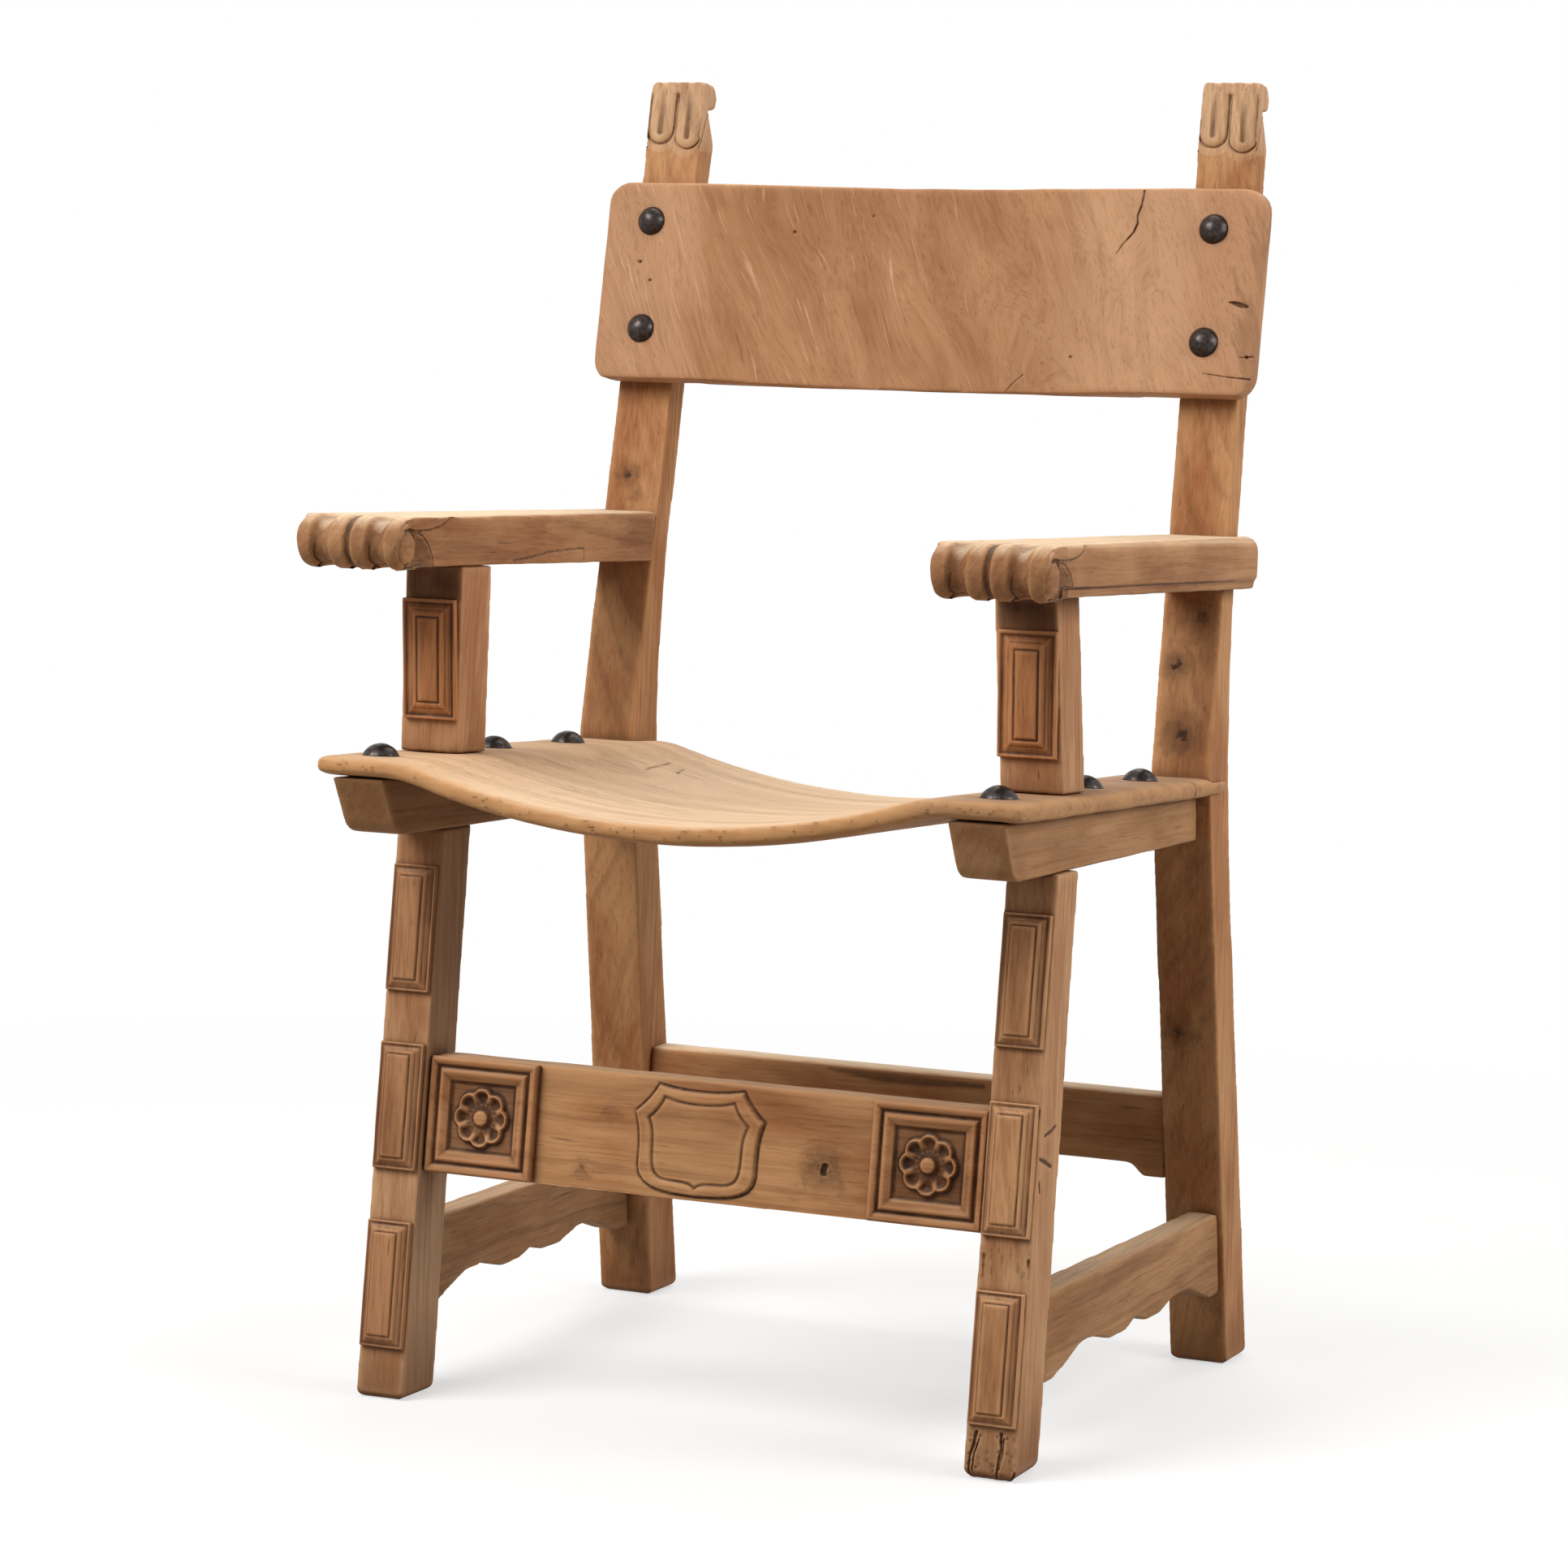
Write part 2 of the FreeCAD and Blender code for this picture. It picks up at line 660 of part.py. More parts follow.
def shield_points(border):
    """Outline of the shield, drawn in by a border for its inner line."""
    foot = front_top - front_height + shield_foot_margin
    rise = front_top - shield_top_margin - foot
    top, base = foot + rise - border, foot + rise * shield_base_share + border
    ear, waist = foot + rise * shield_ear_share, foot + rise * shield_waist_share
    right = [(shield_shoulder - border / 2, top),
             (shield_ear - border - border / 2, ear),
             (shield_waist - border, waist),
             (shield_waist - border, base, shield_base_radius)]
    left = [(-point[0],) + point[1:] for point in reversed(right)]
    return [(0, top - shield_top_sag, shield_top_radius)] + right + [(0, foot + border)] + left


def front_plane(offset, low, high, x0, x1):
    """Slab that stands parallel to the front faces of the legs."""
    face = [(leg_front(low) + offset[0], low), (leg_front(high) + offset[0], high),
            (leg_front(high) + offset[1], high), (leg_front(low) + offset[1], low)]
    return prism_x(face, x0, x1)


def front_stretcher():
    """Front stretcher with its raised shield, butted between the legs."""
    low = front_top - front_height
    plank = front_plane((front_setback, front_setback + front_thick), low, front_top,
                        -leg_inner, leg_inner)
    wide = shield_ear + overrun
    raised = front_plane((front_setback - shield_raise, front_setback + shield_raise), low,
                         front_top, -wide, wide)
    front, back = leg_foot_front, leg_top_front + front_thick
    shield = raised.common(prism_y(shield_points(0), front, back))
    line = prism_y(shield_points(shield_border), front, back)
    line = line.cut(prism_y(shield_points(shield_border + shield_groove_width), front, back))
    depth = front_setback - shield_raise + shield_groove_depth
    line = line.common(front_plane((front_setback - shield_raise - overrun, depth), low,
                                   front_top, -wide, wide))
    return plank.fuse(shield).cut(line)


def front_tenon(grow=0):
    """Right tenon of the front stretcher, inside the front leg."""
    low = front_top - front_height + tenon_shoulder
    high = front_top - tenon_shoulder
    start = front_setback + tenon_shoulder
    slab = front_plane((start - grow, start + stretcher_tenon_thick + grow), low - grow,
                       high + grow, leg_inner - grow, leg_inner + stretcher_tenon_length + grow)
    return slab


def rear_stretcher():
    """Rear stretcher between the rear posts, deeper at both ends."""
    mid, end = rear_bottom, rear_end_bottom
    step = post_inner(end) - rear_end_length
    right = [(post_inner(rear_top), rear_top), (post_inner(end), end), (step, end),
             (step - (mid - end), mid)]
    left = [(-x, z) for x, z in reversed(right)]
    return prism_y(right + left, rear_front, rear_front + rear_thick)


def rear_tenon(grow=0):
    """Right tenon of the rear stretcher, inside the rear post."""
    x0 = post_inner(rear_top)
    return block(x0, x0 + stretcher_tenon_length, rear_front + tenon_shoulder,
                 rear_front + rear_thick - tenon_shoulder, rear_bottom + tenon_shoulder,
                 rear_top - tenon_shoulder, grow)


def side_plan(z0, z1, inset=0):
    """Plan of the right side stretcher, which splays with the rear posts."""
    front, rear = leg_back(side_top), post_front(side_top)
    far_front, far_rear = front - leg_foot_depth, rear + post_foot_depth
    outer_front = leg_inner + leg_width - side_front_inset
    outer_rear = post_inner(side_top) + post_thick - side_rear_inset

    def outer(y):
        return line_at(y, front, outer_front, rear, outer_rear)

    return prism_z([(outer(far_front) - inset, far_front), (outer(far_rear) - inset, far_rear),
                    (outer(far_rear) - side_thick + inset, far_rear),
                    (outer(far_front) - side_thick + inset, far_front)], z0, z1)


def side_stretcher():
    """Right side stretcher with its scalloped lower edge."""
    front, rear = leg_back(side_end_bottom), post_front(side_end_bottom)
    length = rear - front
    scallop_shares = ((0.06, 0), (0.20, 1), (0.27, 1), (0.36, 2), (0.44, 2), (0.50, 3),
                      (0.56, 2), (0.64, 2), (0.73, 1), (0.80, 1), (0.94, 0))
    depths = (side_end_depth, side_rise_depth, side_lobe_depth, side_cusp_depth)
    radius_shares = (0, 0.12, 0.03, 0.06, 0.06, 0.01, 0.06, 0.06, 0.03, 0.12, 0)
    lower = [(front + share * length, side_top - depths[level], radius * length)
             for (share, level), radius in zip(scallop_shares, radius_shares)]
    side = [(front, side_end_bottom)] + lower + [(rear, side_end_bottom),
            (post_front(side_top), side_top), (leg_back(side_top), side_top)]
    x0, x1 = leg_inner - side_thick, post_foot_inner + post_thick + side_thick
    board = prism_x(side, x0, x1)
    return board.common(side_plan(side_end_bottom - overrun, side_top + overrun))


def side_tenons(grow=0):
    """Tenons on both ends of the side stretcher, inside the leg and the rear post."""
    low, high = side_rise_bottom + tenon_shoulder, side_top - tenon_shoulder
    plan = side_plan(low - grow, high + grow, tenon_shoulder - grow)
    x0, x1 = leg_inner - side_thick, post_foot_inner + post_thick + side_thick
    end, reach = leg_back(low), stretcher_tenon_length
    front = block(x0, x1, end - reach, end + tenon_shoulder, low, high).common(plan)
    end = post_front(low)
    if grow:
        front = block(x0, x1, leg_back(low) - reach - grow, leg_back(high) + tenon_shoulder,
                      low - grow, high + grow).common(plan)
        rear = block(x0, x1, post_front(high) - tenon_shoulder, end + reach + grow,
                     low - grow, high + grow).common(plan)
        return front, rear
    rear = block(x0, x1, post_front(high) - tenon_shoulder, end + reach, low, high).common(plan)
    return front, rear


def panel(width, height):
    """Planted panel: sloped outer moulding, sunk groove and bevelled tablet."""
    plate = frustum(width, height, panel_thick, panel_slope)
    inner_w, inner_h = width - panel_border * 2, height - panel_border * 2
    groove = ring(inner_w, inner_h, panel_groove_width, panel_groove_depth + overrun,
                  panel_groove_depth - panel_thick)
    tablet_w, tablet_h = inner_w - panel_groove_width * 2, inner_h - panel_groove_width * 2
    tablet = frustum(tablet_w, tablet_h, tablet_raise, tablet_bevel)
    tablet.translate(Vector(0, -panel_thick, 0))
    return plate.cut(groove).fuse(tablet).removeSplitter()


def rosette_block():
    """Carved square: two moulded frames round a sunk field with an eight-petalled rosette."""
    body = block(-block_width / 2, block_width / 2, -block_thick, 0,
                 -front_height / 2, front_height / 2)
    w, h = block_width - block_border * 2, front_height - block_border * 2
    groove = ring(w, h, block_groove_width, block_groove_depth + overrun,
                  block_groove_depth - block_thick)
    inset = (block_groove_width + block_inner_border) * 2
    field_w, field_h = w - inset, h - inset
    field = block(-field_w / 2, field_w / 2, -block_thick - overrun,
                  block_field_depth - block_thick, -field_h / 2, field_h / 2)
    body = body.cut(groove).cut(field)
    ground = block_field_depth - block_thick
    rosette_radius = min(field_w, field_h) / 2 - rosette_margin
    petal_radius = rosette_radius * petal_radius_share
    hollow_radius = rosette_radius * petal_hollow_share
    orbit = rosette_radius - petal_radius
    flower = Part.makeCylinder(orbit, petal_height, Vector(0, ground, 0), Vector(0, -1, 0))
    hollows = []
    sphere_radius = (hollow_radius ** 2 + petal_hollow_depth ** 2) / (petal_hollow_depth * 2)
    face = ground - petal_height
    for index in range(petal_count):
        turn = pi * index * 2 / petal_count
        x, z = orbit * cos(turn), orbit * sin(turn)
        flower = flower.fuse(Part.makeCylinder(petal_radius, petal_height, Vector(x, ground, z),
                                               Vector(0, -1, 0)))
        lift = sphere_radius - petal_hollow_depth
        hollows.append(Part.makeSphere(sphere_radius, Vector(x, face - lift, z)))
    for hollow in hollows:
        flower = flower.cut(hollow)
    button = Part.makeCylinder(button_radius, button_height, Vector(0, ground, 0), Vector(0, -1, 0))
    return body.fuse(flower).fuse(button).removeSplitter()


def stud(radius, height, point, up):
    """Domed iron stud with its shank, and the hole that the shank needs."""
    ball = (radius ** 2 + height ** 2) / (height + height)
    slope = atan2(radius, ball - height) / 2
    crown = Vector(ball * sin(slope), 0, height - ball + ball * cos(slope))
    rim, top = Vector(radius, 0, 0), Vector(0, 0, height)
    neck, tip = Vector(shank_radius, 0, 0), Vector(shank_radius, 0, -shank_length)
    end = Vector(0, 0, -shank_length)
    edges = [Part.Arc(top, crown, rim).toShape(), Part.makeLine(rim, neck),
             Part.makeLine(neck, tip), Part.makeLine(tip, end), Part.makeLine(end, top)]
    solid = Part.Face(Part.Wire(edges)).revolve(Vector(0, 0, 0), Vector(0, 0, 1), degrees(pi + pi))
    solid.Placement = FreeCAD.Placement(point, FreeCAD.Rotation(Vector(0, 0, 1), up))
    depth = overrun + shank_length + shank_gap
    hole = Part.makeCylinder(shank_radius + shank_gap, depth, point + up * overrun, -up)
    return solid, hole


def both_sides(name, shape):
    """Save a piece and its mirror image."""
    pieces[name + "_right"] = shape
    pieces[name + "_left"] = mirrored(shape)


pieces = {}

# Studs come first, because their shanks need holes in the boards, rails and posts.
seat_up = Vector(0, seat_drop, seat_length).normalize()
back_up = Vector(0, post_knee_height - chair_height, post_top_front - post_knee_front).normalize()
seat_studs, seat_holes, back_studs, back_holes = [], [], [], []
for setback in seat_stud_setbacks:
    spot = Vector(seat_half_width - seat_stud_inset, seat_front + setback,
                  seat_top(seat_front + setback))
    solid, hole = stud(seat_stud_radius, seat_stud_height, spot, seat_up)
    seat_studs += [solid, mirrored(solid)]
    seat_holes.append(hole)
for height in (back_bottom + back_stud_rise, back_top - back_stud_drop):
    spot = Vector(back_half_width - back_stud_inset, post_front(height), height)
    solid, hole = stud(back_stud_radius, back_stud_height, spot + back_up * back_thick, back_up)
    back_studs += [solid, mirrored(solid)]
    back_holes.append(hole)
pieces["seat_studs"] = Part.makeCompound(seat_studs)
pieces["back_studs"] = Part.makeCompound(back_studs)

# Rear posts, with mortises for the rail, armrest and stretchers
side_leg_tenon, side_post_tenon = side_tenons()
side_leg_mortise, side_post_mortise = side_tenons(joint_gap)
post = rear_post()
for mortise in [rail_tenon(joint_gap), arm_tenon(joint_gap), rear_tenon(joint_gap),
                side_post_mortise] + back_holes:
    post = post.cut(mortise)
both_sides("rear_post", post)

# Front legs, with mortises for the front and side stretchers
leg = front_leg().fuse(leg_tenon()).removeSplitter()
leg = leg.cut(front_tenon(joint_gap)).cut(side_leg_mortise)
both_sides("front_leg", leg)

# Seat rails, with mortises for the leg below and the arm post above
rail = seat_rail().fuse(rail_tenon())
rail = rail.cut(leg_tenon(joint_gap)).cut(arm_post_foot(joint_gap))
for hole in seat_holes:
    rail = rail.cut(hole)
both_sides("seat_rail", rail.removeSplitter())

# Seat board, with its mortises and stud holes
board = seat_board()
for tool in [arm_post_foot(joint_gap)] + seat_holes:
    board = board.cut(tool).cut(mirrored(tool))
pieces["seat_board"] = board

# Arm posts and armrests
upright = arm_post().fuse(arm_post_foot()).fuse(arm_post_head()).removeSplitter()
both_sides("arm_post", upright)
arm = armrest().fuse(arm_tenon()).cut(arm_post_head(joint_gap))
both_sides("armrest", arm.removeSplitter())

# Back board
back = back_board()
for hole in back_holes:
    back = back.cut(hole).cut(mirrored(hole))
pieces["back_board"] = back

# Stretchers
front = front_stretcher().fuse(front_tenon()).fuse(mirrored(front_tenon()))
pieces["front_stretcher"] = front.removeSplitter()
rear = rear_stretcher().fuse(rear_tenon()).fuse(mirrored(rear_tenon()))
pieces["rear_stretcher"] = rear.removeSplitter()
side = side_stretcher().fuse(side_leg_tenon).fuse(side_post_tenon)
both_sides("side_stretcher", side.removeSplitter())

# Rosette blocks on the front stretcher, hard against the legs
block_z = front_top - front_height / 2
block_x = leg_inner - block_width / 2 - joint_gap
square = laid_on(rosette_block(), block_x, leg_front(block_z) + front_setback, block_z, leg_rake)
both_sides("rosette_block", square)

# Panels on the legs and the arm posts
leg_panel = panel(leg_width - panel_inset * 2, leg_panel_height)
for index, place_name in enumerate(leg_panel_names):
    z = leg_panel_foot_gap + (leg_panel_height + leg_panel_gap) * index + leg_panel_height / 2
    piece = laid_on(leg_panel, leg_inner + leg_width / 2, leg_front(z), z, leg_rake)
    both_sides("leg_panel_" + place_name, piece)
z = seat_top_front + arm_panel_foot_gap + arm_panel_height / 2
arm_panel = panel(arm_post_width - panel_inset * 2, arm_panel_height)
piece = laid_on(arm_panel, arm_post_side(z) + arm_post_width / 2, arm_post_face(z), z, arm_post_tilt)
both_sides("arm_post_panel", piece)

# The origin goes to the floor, under the middle of the chair's length.
middle = (scroll_front + post_foot_front + post_foot_depth) / 2
os.makedirs("parts", exist_ok=True)
for name, shape in pieces.items():
    shape.translate(Vector(0, -middle, 0))
    shape.exportStep("parts/" + name + ".step")
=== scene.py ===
from math import ceil, cos, log2, pi, radians, sin, sqrt

import bmesh
import bpy
import numpy as np
from mathutils import Matrix, Vector
from mathutils.geometry import interpolate_bezier


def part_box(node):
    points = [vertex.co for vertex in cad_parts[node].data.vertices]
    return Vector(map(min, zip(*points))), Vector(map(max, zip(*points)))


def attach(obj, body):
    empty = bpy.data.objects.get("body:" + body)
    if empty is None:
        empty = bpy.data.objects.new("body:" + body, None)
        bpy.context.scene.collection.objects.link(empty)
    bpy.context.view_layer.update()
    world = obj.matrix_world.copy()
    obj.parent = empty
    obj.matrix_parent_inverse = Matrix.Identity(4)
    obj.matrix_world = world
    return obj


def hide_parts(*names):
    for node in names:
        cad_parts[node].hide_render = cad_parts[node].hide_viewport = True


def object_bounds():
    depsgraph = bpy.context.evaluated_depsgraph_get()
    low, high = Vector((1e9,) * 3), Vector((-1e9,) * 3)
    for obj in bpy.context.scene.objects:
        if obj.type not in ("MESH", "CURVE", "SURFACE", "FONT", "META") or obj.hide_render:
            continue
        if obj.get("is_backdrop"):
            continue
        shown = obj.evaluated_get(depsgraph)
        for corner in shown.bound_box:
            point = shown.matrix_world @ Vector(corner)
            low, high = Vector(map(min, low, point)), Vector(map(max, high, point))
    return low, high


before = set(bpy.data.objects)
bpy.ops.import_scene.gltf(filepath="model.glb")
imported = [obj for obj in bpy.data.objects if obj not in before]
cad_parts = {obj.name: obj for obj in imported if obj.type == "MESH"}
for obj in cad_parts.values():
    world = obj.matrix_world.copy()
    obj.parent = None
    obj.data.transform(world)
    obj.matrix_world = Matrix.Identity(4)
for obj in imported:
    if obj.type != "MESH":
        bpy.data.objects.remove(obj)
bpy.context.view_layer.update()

# Joined walnut armchair, stripped of its old finish. X runs across, Y to the back and Z up, in metres.
mm = 0.001

# Rear posts
# Two bent walnut planks, sawn to shape and planed by hand, that run from the floor to a scrolled top.
# The wood was stripped bare, so it is matt and honey brown, with edges rubbed round and dark old knots.
weld_gap = 0.01 * mm
ripple_waves = 9
relax_share = 0.6
wear_rubs = 14
smooth = {"interpolation_type": "SMOOTHSTEP"}
link = bpy.context.scene.collection.objects.link


def ripple(points, wavelength, seed):
    """Uneven height between about -1 and 1, smooth over one wavelength, from crossed waves."""
    chance = np.random.default_rng(seed)
    ways = chance.normal(size=(ripple_waves, 3))
    ways /= np.linalg.norm(ways, axis=1)[:, None]
    ways *= 2 * pi / wavelength * chance.uniform(0.6, 1.5, ripple_waves)[:, None]
    phases = chance.uniform(0, 2 * pi, ripple_waves)
    return np.sin(points @ ways.T + phases).sum(axis=1) / sqrt(ripple_waves)


def relaxed(points, ends, times):
    """Rub a mesh down: each point moves towards the middle of its neighbours."""
    count = len(points)
    heads, tails = np.concatenate([ends[:, 0], ends[:, 1]]), np.concatenate([ends[:, 1], ends[:, 0]])
    near = np.maximum(np.bincount(heads, minlength=count), 1)
    for _ in range(times):
        middle = np.stack([np.bincount(heads, points[tails, axis], count) for axis in range(3)], 1)
        points = points + relax_share * (middle / near[:, None] - points)
    return points


def read(items, name, width, kind=np.float32):
    """One value of each of a mesh's items, as the rows of a table."""
    found = np.zeros(len(items) * width, kind)
    items.foreach_get(name, found)
    return found.reshape(-1, width)


def points_of(mesh):
    return read(mesh.vertices, "co", 3).astype(float)


def put_points(mesh, points):
    mesh.vertices.foreach_set("co", points.astype(np.float32).ravel())
    mesh.update()


def normals_of(mesh):
    return read(mesh.vertex_normals, "vector", 3).astype(float)


def ends_of(mesh):
    """The two points at the ends of each edge."""
    return read(mesh.edges, "vertices", 2, np.int32)


def unit(amount):
    return np.clip(amount, 0, 1)


def worn_piece(node, mesh):
    """An object for a piece's mesh, which remembers where it is dark with old dirt and painted shade, and
    where it is pale with bare wood and painted light.
    """
    for name in ("cut", "bare_and_lit"):
        mesh.attributes.new(name, "FLOAT", "POINT")
    piece = bpy.data.objects.new("worn_" + node, mesh)
    link(piece)
    return piece


def even_copy(node, grit, crisp=False):
    """A node's own shape in even faces, grit millimetres wide, to carve and wear. A crisp one keeps its
    slanted edges straight."""
    grit *= mm
    block = bmesh.new()
    block.from_mesh(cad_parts[node].data)
    bmesh.ops.remove_doubles(block, verts=block.verts, dist=weld_gap)
    rough = bpy.data.meshes.new(node + "_block")
    block.to_mesh(rough)
    block.free()
    holder = bpy.data.objects.new(node + "_block", rough)
    link(holder)
    remesh = holder.modifiers.new("even_faces", "REMESH")
    if crisp:
        cells = max(holder.dimensions) / grit
        depth = ceil(log2(cells / 0.98))
        remesh.mode, remesh.octree_depth, remesh.scale = "SHARP", depth, cells / 2 ** depth
        remesh.use_remove_disconnected = False
    else:
        remesh.mode, remesh.voxel_size = "VOXEL", grit
    graph = bpy.context.evaluated_depsgraph_get()
    mesh = bpy.data.meshes.new_from_object(holder.evaluated_get(graph))
    bpy.data.objects.remove(holder)
    return worn_piece(node, mesh)


def refine(piece, near, times):
    """Split the faces where near(points, normals) holds, to make room for fine carving."""
    mesh = piece.data
    for _ in range(times):
        flags = near(points_of(mesh), normals_of(mesh))
        chosen = np.flatnonzero(flags[ends_of(mesh)].all(axis=1))
        block = bmesh.new()
        block.from_mesh(mesh)
        block.edges.ensure_lookup_table()
        edges = [block.edges[index] for index in chosen]
        bmesh.ops.subdivide_edges(block, edges=edges, cuts=1, use_grid_fill=True)
        block.to_mesh(mesh)
        block.free()


def line_distance(flat, *lines):
    """How far flat points are from lines of straight runs. Where a line's points have a third number,
    it is the line's share of its full width there."""
    nearest = np.full(len(flat), np.inf)
    for line in map(np.array, lines):
        for start, end in zip(line[:-1], line[1:]):
            run = (end - start)[:2]
            share = unit((flat - start[:2]) @ run / (run @ run))
            apart = np.linalg.norm(flat - start[:2] - share[:, None] * run, axis=1)
            if len(start) > 2:
                apart /= start[2] + share * (end[2] - start[2])
            nearest = np.minimum(nearest, apart)
    return nearest


def within(flat, outline):
    """Which flat points lie inside a closed outline."""
    inside = np.zeros(len(flat), bool)
    for (u0, v0), (u1, v1) in zip(outline, np.roll(outline, -1, axis=0)):
        if v0 == v1:
            continue
        crossed = (v0 > flat[:, 1]) != (v1 > flat[:, 1])
        inside ^= crossed & (flat[:, 0] < u0 + (flat[:, 1] - v0) * (u1 - u0) / (v1 - v0))
    return inside


def mark(mesh, name, amount, chosen=slice(None)):
    """Remember under its name, from 0 to 1, how dark a place is with old dirt and painted shade, or how
    pale it is with bare wood and painted light.
    """
    layer = mesh.attributes[name].data
    found = read(layer, "value", 1)[:, 0]
    found[chosen] = np.maximum(found[chosen], unit(amount))
    layer.foreach_set("value", found)


def score(piece, way, lines, half_width, depth, times=1, dirt_and_shade=2):
    """Cut dark lines, such as cracks or a carver's outlines, in the faces that look the given way.
    A line's numbers are millimetres along the two other axes."""
    way = np.array(way)
    axes = [axis for axis in range(3) if not way[axis]]
    runs = [np.array(line)[:, :2] for line in lines]

    def near(places, normals):
        return (normals @ way > 0.4) & (line_distance(places[:, axes] / mm, *runs) < half_width + 2)
    refine(piece, near, times)
    mesh = piece.data
    points = points_of(mesh)
    chosen = near(points, normals_of(mesh))
    apart = line_distance(points[chosen][:, axes] / mm, *lines)
    apart += 0.18 * half_width * ripple(points[chosen], 7 * mm, len(lines))
    share = unit(1 - (apart / half_width) ** 2)
    points[chosen] -= np.outer(share * depth * mm, way)
    mark(mesh, "cut", share * dirt_and_shade, chosen)
    put_points(mesh, points)


def age(piece, rubs, wear, dent, seed):
    """Rub the piece down, wear its edges, dent its faces by up to dent millimetres, and remember where
    its edges and its hollows are."""
    mesh = piece.data
    ends = ends_of(mesh)
    points = relaxed(points_of(mesh), ends, rubs)
    put_points(mesh, points)
    normals = normals_of(mesh)
    rise = ((points - relaxed(points, ends, wear_rubs)) * normals).sum(axis=1)
    patchy = 0.75 + 0.25 * ripple(points, 45 * mm, seed)
    points -= normals * (np.clip(rise, 0, None) * unit(patchy) * wear)[:, None]
    sunk = dent * mm * (1 + np.clip(ripple(points, 75 * mm, seed + 1), -1, 1)) / 2
    points -= normals * sunk[:, None]
    length = np.linalg.norm(points[ends[:, 0]] - points[ends[:, 1]], axis=1)
    total = np.bincount(ends[:, 0], length, len(points)) + np.bincount(ends[:, 1], length, len(points))
    spacing = total / np.maximum(np.bincount(ends.ravel(), minlength=len(points)), 1)
    put_points(mesh, points)
    cut = read(mesh.attributes["cut"].data, "value", 1)[:, 0]
    bend = rise / (0.5 * spacing)
    for name, amount in (("edge", bend), ("hollow", cut - 0.45 * bend)):
        layer = mesh.attributes.new(name, "FLOAT", "POINT")
        layer.data.foreach_set("value", unit(amount).astype(np.float32))
    mesh.shade_smooth()
    return piece


def tone(hex_code):
    """A colour written in sRGB, turned to the linear values that a shader takes."""
    parts = [int(hex_code[i:i + 2], 16) / 255 for i in (1, 3, 5)]
    return [p / 12.92 if p <= 0.04045 else ((p + 0.055) / 1.055) ** 2.4 for p in parts] + [1]


def add(tree, kind, inputs=None, operation=None, **settings):
    """One shader node, with its settings, values and links. A node as an input gives its own result."""
    made = tree.nodes.new("ShaderNode" + kind)
    if operation:
        made.operation = operation
    for key, value in settings.items():
        setattr(made, key, value)
    for key, value in (inputs or {}).items():
        if isinstance(value, bpy.types.Node):
            value = next(socket for socket in value.outputs if socket.enabled)
        if isinstance(value, bpy.types.NodeSocket):
            tree.links.new(value, made.inputs[key])
        else:
            made.inputs[key].default_value = value
    return made


def new_material(name):
    """A fresh material, its nodes and its main shader."""
    material = bpy.data.materials.new(name)
    material.use_nodes = True
    return material, material.node_tree, material.node_tree.nodes["Principled BSDF"]


